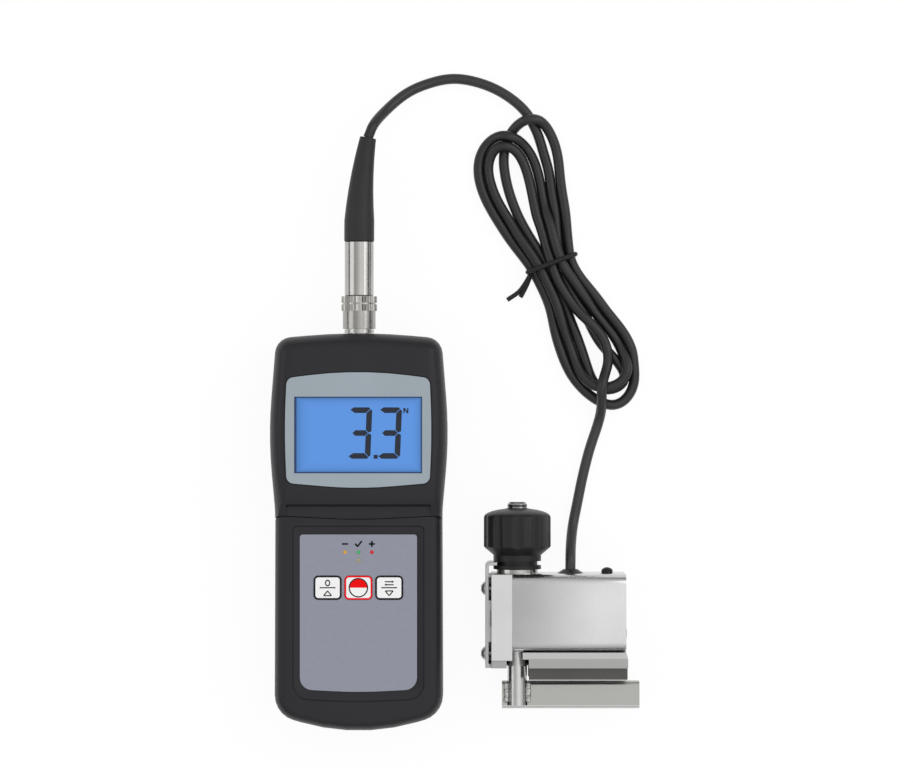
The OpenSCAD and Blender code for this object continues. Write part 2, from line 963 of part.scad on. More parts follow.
boot_line = [
  for (t = [0, 0.1, 0.2, 0.35, 0.5, 0.65, 0.8, 0.92, 1])
    [3.6 * pow(max(0, t - 0.1) / 0.9, 2), boot_y + 42 * t, plug_z]
];

module cable_boot() {
  wide = 6.1;
  narrow = cable_d / 2 + 1.2;
  color([0.17, 0.17, 0.18])
    sweep(
      boot_line,
      [
        for (t = [0, 0.1, 0.2, 0.35, 0.5, 0.65, 0.8, 0.92, 1])
          t < 0.2 ? wide : wide - (wide - narrow) * (t - 0.2) / 0.8
      ],
      [0, 0, 1],
      24
    );
}

boot_tip = boot_line[len(boot_line) - 1];

module cable_along(points) {
  line = smooth_line(points, 3);
  sweep(line, [for (p = line) cable_d / 2], [0, 0, 1], 10);
}

module cable_meter_lead() {
  color([0.2, 0.2, 0.21])
    cable_along([
      boot_tip,
      boot_tip + [3.4, 7, -0.6],
      [17, 177.5, 12.5],
      [27.5, 182.8, 9],
      [39.5, 184.8, 5.5],
      [54.5, 180.5, 3],
      [67.5, 172, 2.2],
      [73, 164, 2.2],
    ]);
}

hank_corners = [
  [104, 47, 12],
  [117, 57, 12],
  [114.5, 80, 18],
  [88, 111, 25],
  [87, 135, 40],
  [84, 161, 14],
  [72, 174, 8],
  [56, 167, 10],
  [43, 153, 9],
  [49, 134, 20],
  [69, 106, 25],
  [79, 88, 20],
  [82, 66, 20],
  [92, 51, 12],
];

tie_at = [78.4, 109, 0];
tie_turn = 22;
tie_w = 2.4;

module tie_prism(w, low, high, l) {
  translate(tie_at)
    rotate([0, 0, tie_turn])
      span([-w / 2, -l / 2, low], [w / 2, l / 2, high]);
}

module cable_hank() {
  color([0.2, 0.2, 0.21])
    difference() {
      linear_extrude(hank_h)
        polygon(outline(hank_corners));
      difference() {
        tie_prism(waist_w + 20, -1, hank_h + 1, tie_w + 0.4);
        tie_prism(waist_w - 2 * tie_t - 0.2, tie_t + 0.1, hank_h - tie_t - 0.1, tie_w + 2);
      }
    }
}

module cable_tie() {
  color([0.12, 0.12, 0.12]) {
    difference() {
      tie_prism(waist_w, 0, hank_h, tie_w);
      tie_prism(waist_w - 2 * tie_t, tie_t, hank_h - tie_t, tie_w + 2);
    }
    for (tail = [[-8.5, -11.5, 1.2], [-3.5, -12.5, 1.6]]) {
      root = tie_at + [-8.6, -4, 3];
      line = [root, root + tail * 0.5, root + tail];
      sweep(line, [for (p = line) 0.9], [0, 0, 1], 8);
    }
  }
}

module cable_sensor_lead() {
  color([0.2, 0.2, 0.21])
    cable_along([
      [97, 66, 12],
      [99, 50, 10.5],
      [97.2, 36, 7.5],
      [91.2, 18, 6],
      [87.4, 1, 9.6],
      [sensor_at[0] + grommet_x, -8, axis_z - 0.8],
      [sensor_at[0] + grommet_x, sensor_at[1] + grommet_h - 2, axis_z],
    ]);
}

module at_sensor() {
  translate(sensor_at)
    children();
}

// A bar along X with a rounded section, given by its corners in Y and Z
module section_bar(low_x, high_x, low, high, r, inset = 0) {
  corners = [
    [low[0], low[1], r],
    [high[0], low[1], r],
    [high[0], high[1], r],
    [low[0], high[1], r],
  ];
  translate([low_x, 0, 0])
    rotate([90, 0, 90])
      linear_extrude(high_x - low_x)
        polygon(outline(corners, inset));
}

module rod_hole(r) {
  along_y(0, -80, axis_z)
    cylinder(r = r, h = 120, $fn = 64);
}

module bolt_spots() {
  for (side = [-1, 1])
    translate([0, cell_block_y + beam_h / 2, axis_z + side * bolt_z])
      children();
}

module retainer_spots() {
  for (y = [-6.2, -block_h + 2])
    translate([-block_left - stand_off, y, axis_z])
      children();
}

module sensor_block() {
  color([0.8, 0.8, 0.8])
    at_sensor()
      difference() {
        union() {
          span([-block_left, -block_h, 0], [-shell_left - 0.05, 0, sensor_t]);
          section_bar(-shell_left - 1, block_right, [-shell_h, 0], [0, sensor_t], 4, inner_z);
        }
        rod_hole(rod_r + rod_gap);
        retainer_spots()
          along_x(-1, 0, 0)
            cylinder(r = 1.5 + fit, h = 8, $fn = 32);
        bolt_spots() {
          along_x(-block_left - 1, 0, 0)
            cylinder(r = bolt_r + fit, h = 40, $fn = 32);
          along_x(-block_left - 1, 0, 0)
            cylinder(r = 3.6, h = 5.4, $fn = 32);
        }
      }
}

module sensor_shell() {
  color([0.82, 0.83, 0.84])
    at_sensor()
      difference() {
        section_bar(-shell_left, shell_right, [-shell_h, 0], [0, sensor_t], 4);
        section_bar(-shell_left - 1, shell_right + 1, [-shell_h, 0], [0, sensor_t], 4, shell_t);
        along_y(0, -80, axis_z)
          cylinder(r = rod_r + 0.6, h = 120, $fn = 48);
        along_y(grommet_x, -5, axis_z)
          cylinder(r = cable_d / 2 + 1.1, h = 10, $fn = 32);
        along_y(shell_screw_x, -5, axis_z)
          cylinder(r = 1.5 + fit, h = 10, $fn = 32);
        base_screw_spots()
          along_y(0, -5, 0)
            cylinder(r = 1.5 + fit, h = 10, $fn = 32);
      }
}

module end_plate() {
  color([0.8, 0.8, 0.81])
    at_sensor()
      difference() {
        section_bar(end_x + 0.02, shell_right, [-shell_h, 0], [0, sensor_t], 4, shell_t + 0.05);
        along_x(end_x - 1, end_screw_y, axis_z)
          cylinder(r = 1.5 + fit, h = 5, $fn = 32);
      }
}

module end_screw() {
  color([0.75, 0.75, 0.76])
    at_sensor()
      along_x(end_x - end_thread, end_screw_y, axis_z) {
        cylinder(r = 1.5, h = end_thread + end_t + 0.1, $fn = 32);
        translate([0, 0, end_thread + end_t + 0.02])
          cylinder(r1 = 2.6, r2 = 2, h = 0.8, $fn = 32);
      }
}

module end_block() {
  color([0.72, 0.73, 0.74])
    at_sensor()
      difference() {
        span(
          [end_block_x, -shell_h + inner_z, shell_t + 2.6],
          [end_x, -inner_z, sensor_t - shell_t - 2.6]
        );
        along_x(end_x - end_thread - 0.3, end_screw_y, axis_z)
          cylinder(r = 1.5 + fit, h = 10, $fn = 32);
        along_y(shell_screw_x, -8, axis_z)
          cylinder(r = 1.5 + fit, h = 10, $fn = 32);
        bolt_spots() {
          along_x(end_block_x - 1, 0, 0)
            cylinder(r = bolt_r + fit, h = 20, $fn = 32);
          along_x(end_x - 4.3, 0, 0)
            cylinder(r = 3.6, h = 10, $fn = 32);
        }
        base_screw_spots()
          along_y(0, -1, 0)
            cylinder(r = 1.5 + fit, h = base_thread + 1.6, $fn = 32);
      }
}

module load_cell() {
  middle = (block_right + end_block_x) / 2;
  color([0.7, 0.72, 0.75])
    at_sensor()
      difference() {
        span(
          [block_right, cell_block_y, axis_z - beam_t / 2],
          [end_block_x, cell_block_y + beam_h, axis_z + beam_t / 2]
        );
        for (side = [-1, 1])
          translate([middle + side * 3.6, cell_block_y + beam_h / 2, 0])
            cylinder(r = 4.6, h = sensor_t, $fn = 48);
        bolt_spots() {
          along_x(block_right - 1, 0, 0)
            cylinder(r = bolt_r + fit, h = 4.4, $fn = 32);
          along_x(end_block_x - 3.4, 0, 0)
            cylinder(r = bolt_r + fit, h = 4.4, $fn = 32);
        }
      }
}

module strain_gauges() {
  middle = (block_right + end_block_x) / 2;
  color([0.8, 0.55, 0.2])
    at_sensor()
      for (side = [-1, 1])
        for (y = [cell_block_y - 0.3, cell_block_y + beam_h])
          span([middle + side * 5 - 2.5, y, axis_z - 4], [middle + side * 5 + 2.5, y + 0.3, axis_z + 4]);
}

module load_cell_bolts() {
  color([0.2, 0.2, 0.21])
    at_sensor()
      bolt_spots() {
        along_x(-block_left + 0.3, 0, 0)
          difference() {
            cylinder(r = 3.4, h = 4.1, $fn = 32);
            translate([0, 0, -1])
              cylinder(r = 1.7, h = 3, $fn = 6);
          }
        along_x(-block_left + 4.3, 0, 0)
          cylinder(r = bolt_r, h = block_right + block_left - 4.3 + 3, $fn = 32);
        along_x(end_x - 4.2, 0, 0)
          difference() {
            cylinder(r = 3.4, h = 4.1, $fn = 32);
            translate([0, 0, 2.1])
              cylinder(r = 1.7, h = 3, $fn = 6);
          }
        along_x(end_block_x - 3, 0, 0)
          cylinder(r = bolt_r, h = end_block_l - 1, $fn = 32);
      }
}

module base_screw_spots() {
  for (side = [-1, 1])
    translate([end_x - 6.4, -shell_h + inner_z, jaw_back + jaw_t / 2 + side * 3.6])
      children();
}

// The upper part of the base's front is set back and sloped at its end
module base_step() {
  span(
    [-shell_left - 1, base_y - base_lip, sensor_t - base_front - 0.5],
    [base_right + 1, base_y + 1, sensor_t]
  );
  translate([0, 0, base_front - 1])
    linear_extrude(sensor_t)
      polygon([
        [base_right + 0.1, base_y - base_lip],
        [base_right + 0.1, base_y + 0.1],
        [shell_right, base_y + 0.1],
      ]);
}

module base_plate() {
  color([0.6, 0.6, 0.6])
    at_sensor()
      difference() {
        union() {
          span([-shell_left, base_low, base_front], [base_right, base_y, sensor_t - base_front]);
          span(
            [-block_left, base_foot, base_front],
            [-shell_left + 1, -block_h - 0.2, sensor_t - base_front]
          );
        }
        span([-rod_r - 0.5, base_low - 1, axis_z], [rod_r + 0.5, base_y - base_lip, sensor_t]);
        span([-rod_r - 0.5, base_low - 1, axis_z], [rod_r / 2, base_y + 1, sensor_t]);
        rod_hole(rod_r + 0.5);
        base_step();
        base_screw_spots() {
          along_y(0, -20, 0)
            cylinder(r = 1.5 + fit, h = 30, $fn = 32);
          along_y(0, base_low + shell_h - inner_z - 1, 0)
            cylinder(r = 2.9, h = 3.2, $fn = 32);
        }
      }
}

module base_screws() {
  color([0.55, 0.55, 0.56])
    at_sensor()
      base_screw_spots() {
        along_y(0, base_low + shell_h - inner_z + 0.3, 0)
          cylinder(r = 2.7, h = 1.9, $fn = 32);
        along_y(0, base_low + shell_h - inner_z + 2, 0)
          cylinder(r = 1.5, h = -base_low - shell_h + inner_z + base_thread - 2, $fn = 32);
      }
}

module support(low_z) {
  at_sensor()
    difference() {
      span([support_left, base_low - support_h, low_z], [base_right, base_low, low_z + support_t]);
      translate([0, base_low - support_h, low_z + support_t / 2])
        for (side = [-1, 1])
          translate([support_left - 1, 0, side * support_t / 2])
            rotate([45, 0, 0])
              cube([base_right + 2, 1.1, 1.1]);
    }
}

module front_support() {
  color([0.32, 0.32, 0.32])
    support(support_high);
}

module rear_support() {
  color([0.32, 0.32, 0.32])
    support(support_low);
}

module knob_retainer() {
  bend = 2;
  strip = [axis_z - 8, axis_z + 8];
  left = -block_left - stand_off - retainer_t;
  high = tongue_y + retainer_t;
  color([0.78, 0.78, 0.78])
    at_sensor()
      difference() {
        union() {
          span([left, base_foot - 0.2, strip[0]], [-block_left, high - bend, strip[1]]);
          span([left + bend, tongue_y, strip[0]], [-groove_r, high, strip[1]]);
          translate([left + bend, high - bend, strip[0]])
            intersection() {
              cylinder(r = bend, h = strip[1] - strip[0], $fn = 32);
              span([-bend, 0, -1], [0, bend, strip[1]]);
            }
        }
        along_y(0, tongue_y - 1, axis_z)
          cylinder(r = groove_r + 0.25, h = retainer_t + 2, $fn = 64);
        for (ends = [[-10.6, -1.4], [-block_h - 1.6, -block_h + 7.1]])
          span([left + retainer_t, ends[0], strip[0] + 2], [-block_left + 1, ends[1], strip[1] + 1]);
        span([left + retainer_t, -0.2, strip[0] - 1], [-block_left + 1, tongue_y, strip[1] + 1]);
        retainer_spots()
          along_x(-retainer_t - 1, 0, 0)
            cylinder(r = 1.5 + fit, h = retainer_t + stand_off + 2, $fn = 32);
      }
}

module retainer_screws() {
  color([0.6, 0.6, 0.61])
    at_sensor()
      retainer_spots()
        along_x(-retainer_t, 0, 0) {
          difference() {
            intersection() {
              translate([0, 0, -1.9])
                cylinder(r = 2.85, h = 1.9, $fn = 32);
              translate([0, 0, 1.4])
                sphere(r = 3.3, $fn = 48);
            }
            for (turn = [0, 90])
              rotate([0, 0, turn])
                span([-0.35, -1.4, -2.5], [0.35, 1.4, -1.1]);
          }
          cylinder(r = 1.5, h = 6, $fn = 32);
        }
}

module thrust_ring() {
  color([0.85, 0.85, 0.85])
    at_sensor()
      along_y(0, 0, axis_z)
        difference() {
          cylinder(r = knob_neck_r - 1.3, h = ring_t, $fn = 64);
          translate([0, 0, -1])
            cylinder(r = rod_r + 0.4, h = ring_t + 2, $fn = 64);
        }
}

module shell_screw() {
  color([0.12, 0.12, 0.13])
    at_sensor()
      along_y(shell_screw_x, 0, axis_z) {
        intersection() {
          cylinder(r = 2.3, h = 2.4, $fn = 32);
          translate([0, 0, -0.6])
            sphere(r = 3, $fn = 48);
        }
        translate([0, 0, -6])
          cylinder(r = 1.5, h = 6.5, $fn = 32);
      }
}

module cable_grommet() {
  color([0.13, 0.13, 0.14])
    at_sensor()
      along_y(grommet_x, 0, axis_z)
        difference() {
          union() {
            translate([0, 0, -shell_t - 2])
              cylinder(r = cable_d / 2 + 1, h = shell_t + 3, $fn = 48);
            cylinder(r1 = 5.4, r2 = cable_d / 2 + 0.8, h = grommet_h, $fn = 48);
          }
          translate([0, 0, grommet_h - 2.1])
            cylinder(r = cable_d / 2 + 0.1, h = 4, $fn = 48);
        }
}

module knob() {
  flutes = 10;
  flute_r = 7;
  flute_depth = 0.55;
  color([0.18, 0.18, 0.19])
    at_sensor()
      along_y(0, 0, axis_z)
        difference() {
          rotate_extrude($fn = 72)
            polygon(concat(
              [
                [bush_r + fit, collar_y],
                [knob_neck_r, collar_y],
                [knob_neck_r, groove_y],
                [groove_r, groove_y],
                [groove_r, neck_y],
                [knob_neck_r, neck_y],
                [knob_neck_r, knob_cone_y],
                [knob_r - 0.6, knob_rim_y - 0.4],
                [knob_r, knob_rim_y + 0.3],
                [knob_r, knob_shoulder_y - 0.4],
              ],
              [
                for (a = [5, 16, 28, 40, 53, 66])
                  [(knob_r - 0.1) * cos(a), knob_shoulder_y + (knob_top_y - knob_shoulder_y) * sin(a)]
              ],
              [
                [rod_r + 0.5, knob_top_y - 0.1],
                [rod_r + 0.5, bush_top],
                [bush_r + fit, bush_top],
              ]
            ));
          for (i = [0:flutes - 1])
            rotate([0, 0, 360 * (i + 0.5) / flutes])
              translate([knob_r + flute_r - flute_depth, 0, knob_rim_y - 5])
                cylinder(r = flute_r, h = 20, $fn = 48);
        }
}

module knob_bush() {
  color([0.75, 0.6, 0.3])
    at_sensor()
      along_y(0, collar_y, axis_z)
        difference() {
          cylinder(r = bush_r, h = bush_top - collar_y, $fn = 64);
          translate([0, 0, -1])
            cylinder(r = rod_r + rod_gap, h = bush_top + 2, $fn = 64);
        }
}

module jaw_rod() {
  color([0.75, 0.75, 0.75])
    at_sensor()
      along_y(0, 0, axis_z)
        rotate_extrude($fn = 64)
          polygon([
            [0, rod_end],
            [rod_r, rod_end],
            [rod_r, rod_top - 0.9],
            [rod_r - 0.9, rod_top],
            [0, rod_top],
          ]);
}

module jaw_bar() {
  color([0.68, 0.68, 0.67])
    at_sensor()
      difference() {
        section_bar(
          -jaw_left,
          jaw_l - jaw_left,
          [jaw_top - jaw_h, jaw_back],
          [jaw_top, jaw_back + jaw_t],
          1.6
        );
        along_y(0, rod_end - 0.02, axis_z)
          cylinder(r = rod_r + fit, h = jaw_h + 2, $fn = 64);
        span(
          [-rod_r - fit, rod_end - 0.02, axis_z],
          [rod_r + fit, jaw_top + 1, axis_z + jaw_t]
        );
      }
}

module jaw_welds() {
  lumps = 6;
  pitch = (jaw_h - 3.4) / lumps;
  color([0.5, 0.5, 0.5])
    at_sensor()
      for (side = [-1, 1])
        for (i = [0:lumps - 1])
          translate([side * (rod_r + 0.5), jaw_top - 1.2 - pitch * i, jaw_back + jaw_t])
            sphere(r = 1.1, $fn = 24);
}

rear_case();
upper_front_case();
lower_front_case();
case_screws();
display_bezel();
display_window();
lcd_panel();
lcd_backlight();
lcd_frame();
lcd_strips();
main_board();
board_components();
board_screws();
keypad_overlay();
key_zero();
key_power();
key_unit();
key_switches();
light_low();
light_good();
light_high();
light_status();
battery_cover();
battery_cells();
battery_springs();
battery_contacts();
meter_socket();
socket_nut();
plug_shell();
coupling_ring();
cable_boot();
cable_meter_lead();
cable_hank();
cable_tie();
cable_sensor_lead();
sensor_block();
sensor_shell();
end_plate();
end_screw();
end_block();
load_cell();
strain_gauges();
load_cell_bolts();
base_plate();
base_screws();
front_support();
rear_support();
knob_retainer();
retainer_screws();
thrust_ring();
shell_screw();
cable_grommet();
knob();
knob_bush();
jaw_rod();
jaw_bar();
jaw_welds();
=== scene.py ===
import math

import bmesh
import bpy
import numpy as np
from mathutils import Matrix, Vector


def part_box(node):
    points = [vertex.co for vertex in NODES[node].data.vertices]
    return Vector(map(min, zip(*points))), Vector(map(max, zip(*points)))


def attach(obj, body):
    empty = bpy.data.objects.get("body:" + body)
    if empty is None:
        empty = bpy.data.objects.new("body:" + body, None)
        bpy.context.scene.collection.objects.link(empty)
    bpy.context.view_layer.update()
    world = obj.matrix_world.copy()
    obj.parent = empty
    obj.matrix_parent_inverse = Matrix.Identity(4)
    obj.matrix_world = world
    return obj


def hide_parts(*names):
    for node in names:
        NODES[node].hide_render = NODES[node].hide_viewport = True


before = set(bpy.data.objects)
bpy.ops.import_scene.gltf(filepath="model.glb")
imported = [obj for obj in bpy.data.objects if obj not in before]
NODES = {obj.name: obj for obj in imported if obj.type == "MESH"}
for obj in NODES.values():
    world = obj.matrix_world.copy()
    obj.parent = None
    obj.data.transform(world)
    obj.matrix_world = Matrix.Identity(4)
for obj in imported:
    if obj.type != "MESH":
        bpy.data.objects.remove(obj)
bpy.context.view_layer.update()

# Lengths are in millimetres unless a comment says otherwise, and MM turns them into the frame's metres.
MM = 0.001
TINY = 1e-6


# Camera, straight above the object with +Y up. The picture spans VIEW_WIDTH at the height VIEW_Z.
CAMERA_Z = 1420
VIEW_Z = 16
VIEW_WIDTH = 370.7
VIEW_CENTRE = (39.5, 56.8)
SENSOR_WIDTH = 36

camera_data = bpy.data.cameras.new("camera")
camera_data.sensor_width = SENSOR_WIDTH
camera_data.lens = SENSOR_WIDTH * (CAMERA_Z - VIEW_Z) / VIEW_WIDTH
camera = bpy.data.objects.new("camera", camera_data)
camera.location = Vector((*VIEW_CENTRE, CAMERA_Z)) * MM
bpy.context.scene.collection.objects.link(camera)
bpy.context.scene.camera = camera
bpy.context.scene.view_settings.view_transform = "Standard"


# Cable: the lead from the plug's boot, the hank, and the lead to the sensor
CABLE_D = 4.2
LEAD_IN = [
    (3.6, 159.9, 16),
    (7, 167, 15.4),
    (17, 177.3, 12.5),
    (27.5, 182.8, 9),
    (40, 185, 5.5),
    (55, 181, 3),
    (66.8, 172.6, 2.1),
]
# The strands of the hank in the order they were wound, seen from above. The first runs down, the second up,
# and so on by turns. Later strands lie on earlier ones.
STRANDS = [
    [
        (72.4, 163.5), (74.8, 155.5), (77.4, 147), (78.4, 140), (79.6, 132), (81, 123), (82.2, 112.5),
        (83, 106), (86.6, 98.5), (91.2, 90.5), (95.2, 82.5), (98.8, 76.5), (103, 71.5), (107, 67.5),
        (109, 63.5),
    ],
    [
        (107.5, 59.8), (103, 58), (98, 58.2), (94.6, 62), (92, 68.5), (89.6, 76.5), (86, 85), (82.5, 96),
        (77.5, 105), (75.5, 111), (69.5, 119), (64, 130.5), (60.5, 140.5), (59, 149.5), (59, 155),
        (61.5, 162), (65.5, 166.5), (70, 168.5),
    ],
    [
        (75, 166.5), (79, 160), (81.2, 152), (82.1, 140.5), (83.5, 126.5), (85.1, 114), (86.8, 109.5),
        (90.6, 103), (96.1, 95.5), (103.6, 86), (108.6, 79.5), (111.2, 72.5), (112.2, 66), (112, 59.5),
        (108.6, 53.5), (102.5, 51),
    ],
    [
        (94, 55.5), (87.5, 62.5), (83, 71.5), (80.2, 81.5), (78, 92), (73.5, 101.5), (69.5, 109), (60.5, 121),
        (52, 135), (49, 143.5), (48.7, 150), (51.5, 157.5), (57.5, 161.5), (64, 160),
    ],
    [
        (68.9, 155.5), (72.2, 148.5), (74.7, 138), (77.2, 128), (79.6, 118), (81, 112), (83.6, 107),
        (89.6, 98.5), (97.4, 88), (104.4, 79.5), (107.8, 72.5), (109.5, 66.5), (107.6, 61.5),
    ],
    [
        (103.5, 59), (98.5, 58.5), (93.5, 60.5), (89.6, 67), (86, 75.9), (83, 85), (80, 94), (75.8, 104),
        (72.5, 110), (65, 120.5), (56.5, 134), (53.2, 143.5), (52.4, 149.5), (54.5, 155), (58, 157.5),
    ],
    [
        (62.5, 156.5), (66.6, 151), (69.3, 143), (71.6, 132.5), (74.6, 124), (76.2, 117), (78.2, 110),
        (80, 103.5), (84, 96.5), (90.8, 88.2), (97.6, 81), (101, 74.2), (101.6, 68), (99.5, 62.5),
        (98.7, 57.5),
    ],
]
LEAD_OUT = [
    (99, 52, 11),
    (98.5, 47.5, 9.5),
    (97, 42, 8),
    (94, 33, 6.5),
    (91, 21, 6),
    (89, 11, 7.5),
    (87, 1, 10.5),
    (86, -8, 13.2),
    (85.8, -15.8, 14),
]
HANK_RISE = 9
PLAN_STEPS = 12
PLAN_GAP = 2.1
FINE_STEPS = 4
FINE_GAP = 1.3

# In each round the cable sinks, is drawn towards its plan, straightens a little and is pushed off itself.
SETTLE_ROUNDS = 220
SINK = 0.03
DRAW = 0.05
STIFF_PASSES = 3
STIFFNESS = 0.05
PUSH_SHARE = 0.4
HELD_POINTS = 3


def cable_plan():
    """Control points of the whole cable, with the hank's strands rising one on another."""
    wound = [point for strand in STRANDS for point in strand]
    count = len(wound)
    hank = [(x, y, CABLE_D / 2 + HANK_RISE * i / count) for i, (x, y) in enumerate(wound)]
    return np.array(LEAD_IN + hank + LEAD_OUT, float)


def smooth_line(points, steps):
    """A smooth line through given points."""
    before = 2 * points[0] - points[1]
    after = 2 * points[-1] - points[-2]
    run = np.vstack([before, points, after])
    line = []
    for a, b, c, d in zip(run[:-3], run[1:-2], run[2:-1], run[3:]):
        for t in np.arange(steps) / steps:
            line.append(
                b
                + 0.5 * t * (c - a)
                + 0.5 * t**2 * (2 * a - 5 * b + 4 * c - d)
                + 0.5 * t**3 * (3 * b - a - 3 * c + d)
            )
    line.append(points[-1])
    return np.array(line)


def spaced(line, gap):
    """The same line with its points an even distance apart."""
    steps = np.linalg.norm(np.diff(line, axis=0), axis=1)
    run = np.concatenate([[0], np.cumsum(steps)])
    places = np.linspace(0, run[-1], round(run[-1] / gap) + 1)
    return np.column_stack([np.interp(places, run, line[:, axis]) for axis in range(3)])


def settle(plan):
    """Let the cable sink on to the table and on to itself, near its planned route."""
    line = plan.copy()
    index = np.arange(len(line))
    apart = np.triu(index[None, :] - index[:, None] > 2 * CABLE_D / PLAN_GAP)
    for _ in range(SETTLE_ROUNDS):
        line[:, 2] -= SINK
        line[:, :2] += DRAW * (plan[:, :2] - line[:, :2])
        for _ in range(STIFF_PASSES):
            bend = line[:-2] - 2 * line[1:-1] + line[2:]
            line[2:-2] -= STIFFNESS * (bend[:-2] - 2 * bend[1:-1] + bend[2:])
        offset = line[:, None, :] - line[None, :, :]
        distance = np.sqrt((offset**2).sum(axis=2))
        first, second = np.nonzero(apart & (distance < CABLE_D))
        length = np.maximum(distance[first, second], TINY)[:, None]
        push = PUSH_SHARE * (CABLE_D - length) * offset[first, second] / length
        np.add.at(line, first, push)
        np.add.at(line, second, -push)
        line[:, 2] = np.maximum(line[:, 2], CABLE_D / 2)
        line[:HELD_POINTS] = plan[:HELD_POINTS]
        line[-HELD_POINTS:] = plan[-HELD_POINTS:]
    return line


def link(obj):
    bpy.context.scene.collection.objects.link(obj)
    return obj


def tube(name, lines, radius):
    """A round tube along each line of points."""
    data = bpy.data.curves.new(name, "CURVE")
    data.dimensions = "3D"
    data.bevel_depth = radius * MM
    data.bevel_resolution = 3
    data.use_fill_caps = True
    for line in lines:
        spline = data.splines.new("POLY")
        spline.points.add(len(line) - 1)
        for point, place in zip(spline.points, line):
            point.co = (*(Vector(place) * MM), 1)
        spline.use_smooth = True
    return link(bpy.data.objects.new(name, data))


cable_line = settle(spaced(smooth_line(cable_plan(), PLAN_STEPS), PLAN_GAP))
cable_line = spaced(smooth_line(cable_line, FINE_STEPS), FINE_GAP)
cable = tube("cable", [cable_line[::-1]], CABLE_D / 2)


# Wire tie round the waist of the hank, twisted into two tails
TIE_LEFT = np.array([68.6, 105.6])
TIE_RIGHT = np.array([88.2, 113])
TIE_WIRE_D = 1.9
TIE_TAILS = [
    [(69.6, 104.4, 6.5), (67.6, 101, 4.6), (65, 97.6, 2.6), (60.4, 94.4, 1.5)],
    [(69.9, 104.6, 4.6), (68.6, 101.2, 4.2), (67.4, 98.6, 3.2), (65.8, 95.6, 2.2)],
]
TAIL_STEPS = 6
WAIST_REACH = 7
LOOP_STEP = 10
LOOP_POWER = 0.55


def squared(value):
    """A sine or cosine moved towards 1 or -1, which turns a circle into a rounded square."""
    return math.copysign(abs(value) ** LOOP_POWER, value)


def tie_loop():
    """The loop round the bundle: flat sides with round corners."""
    middle = (TIE_LEFT + TIE_RIGHT) / 2
    across = (TIE_RIGHT - TIE_LEFT) / 2
    near = np.linalg.norm(cable_line[:, :2] - middle, axis=1) < WAIST_REACH
    top = cable_line[near, 2].max() + CABLE_D / 2 + TIE_WIRE_D / 2
    low = TIE_WIRE_D / 2
    line = []
    for angle in np.radians(np.arange(0, 360 + LOOP_STEP, LOOP_STEP)):
        place = middle + across * squared(math.cos(angle))
        height = (top + low) / 2 + (top - low) / 2 * squared(math.sin(angle))
        line.append((*place, height))
    return line


tie_lines = [tie_loop()] + [smooth_line(np.array(tail), TAIL_STEPS) for tail in TIE_TAILS]
tie = tube("tie_wire", tie_lines, TIE_WIRE_D / 2)


# Materials. Colours are written as they look on a screen: red, green and blue from 0 to 255.
def linear(red, green, blue):
    """A screen colour as the shader's linear value."""

    def channel(value):
        share = value / 255
        if share <= 0.04045:
            return share / 12.92
        return ((share + 0.055) / 1.055) ** 2.4

    return (channel(red), channel(green), channel(blue), 1)


def grey(level):
    return (level, level, level, 1)


def scaled(colour, factor):
    return tuple(min(1, value * factor) for value in colour[:3]) + (1,)


class Nodes:
    """The node tree of a material or a world, with short calls for the nodes used here."""

    def __init__(self, owner, shader):
        owner.use_nodes = True
        self.owner = owner
        self.tree = owner.node_tree
        self.shader = self.tree.nodes[shader]

    def add(self, kind, **inputs):
        node = self.tree.nodes.new(kind)
        for name, value in inputs.items():
            self.set(node.inputs[name.replace("_", " ")], value)
        return node

    def set(self, socket, value):
        if isinstance(value, bpy.types.NodeSocket):
            self.tree.links.new(value, socket)
        else:
            socket.default_value = value

    def give(self, name, value):
        self.set(self.shader.inputs[name], value)

    def given(self, name):
        return self.shader.inputs[name].links[0].from_socket

    def place(self, stretch=(1, 1, 1)):
        """The point on the surface in the object's own frame, stretched along its axes."""
        point = self.add("ShaderNodeTexCoord").outputs["Object"]
        return self.add("ShaderNodeMapping", Vector=point, Scale=stretch).outputs["Vector"]

    def noise(self, place, per_mm, detail=3.0):
        node = self.add("ShaderNodeTexNoise", Vector=place, Scale=per_mm / MM, Detail=detail)
        return node.outputs["Fac"]

    def math(self, operation, first, second=0.0, third=0.0):
        node = self.tree.nodes.new("ShaderNodeMath")
        node.operation = operation
        for socket, value in zip(node.inputs, (first, second, third)):
            self.set(socket, value)
        return node.outputs["Value"]

    def axis(self, place, name):
        return self.add("ShaderNodeSeparateXYZ", Vector=place).outputs[name]

    def ramp(self, value, *stops):
        """Colours or grey levels at rising positions of value."""
        node = self.add("ShaderNodeValToRGB", Fac=value)
        elements = node.color_ramp.elements
        while len(elements) < len(stops):
            elements.new(0.5)
        for element, (position, colour) in zip(elements, stops):
            element.position = position
            element.color = colour if isinstance(colour, tuple) else grey(colour)
        return node.outputs["Color"]

    def bump(self, height, strength, depth, normal=None):
        node = self.add("ShaderNodeBump", Height=height, Strength=strength, Distance=depth * MM)
        if normal is not None:
            self.set(node.inputs["Normal"], normal)
        return node.outputs["Normal"]


def new_material(name):
    return Nodes(bpy.data.materials.new(name), "Principled BSDF")


ROUGH_SPREAD = 0.08
LEAST_ROUGH = 0.02


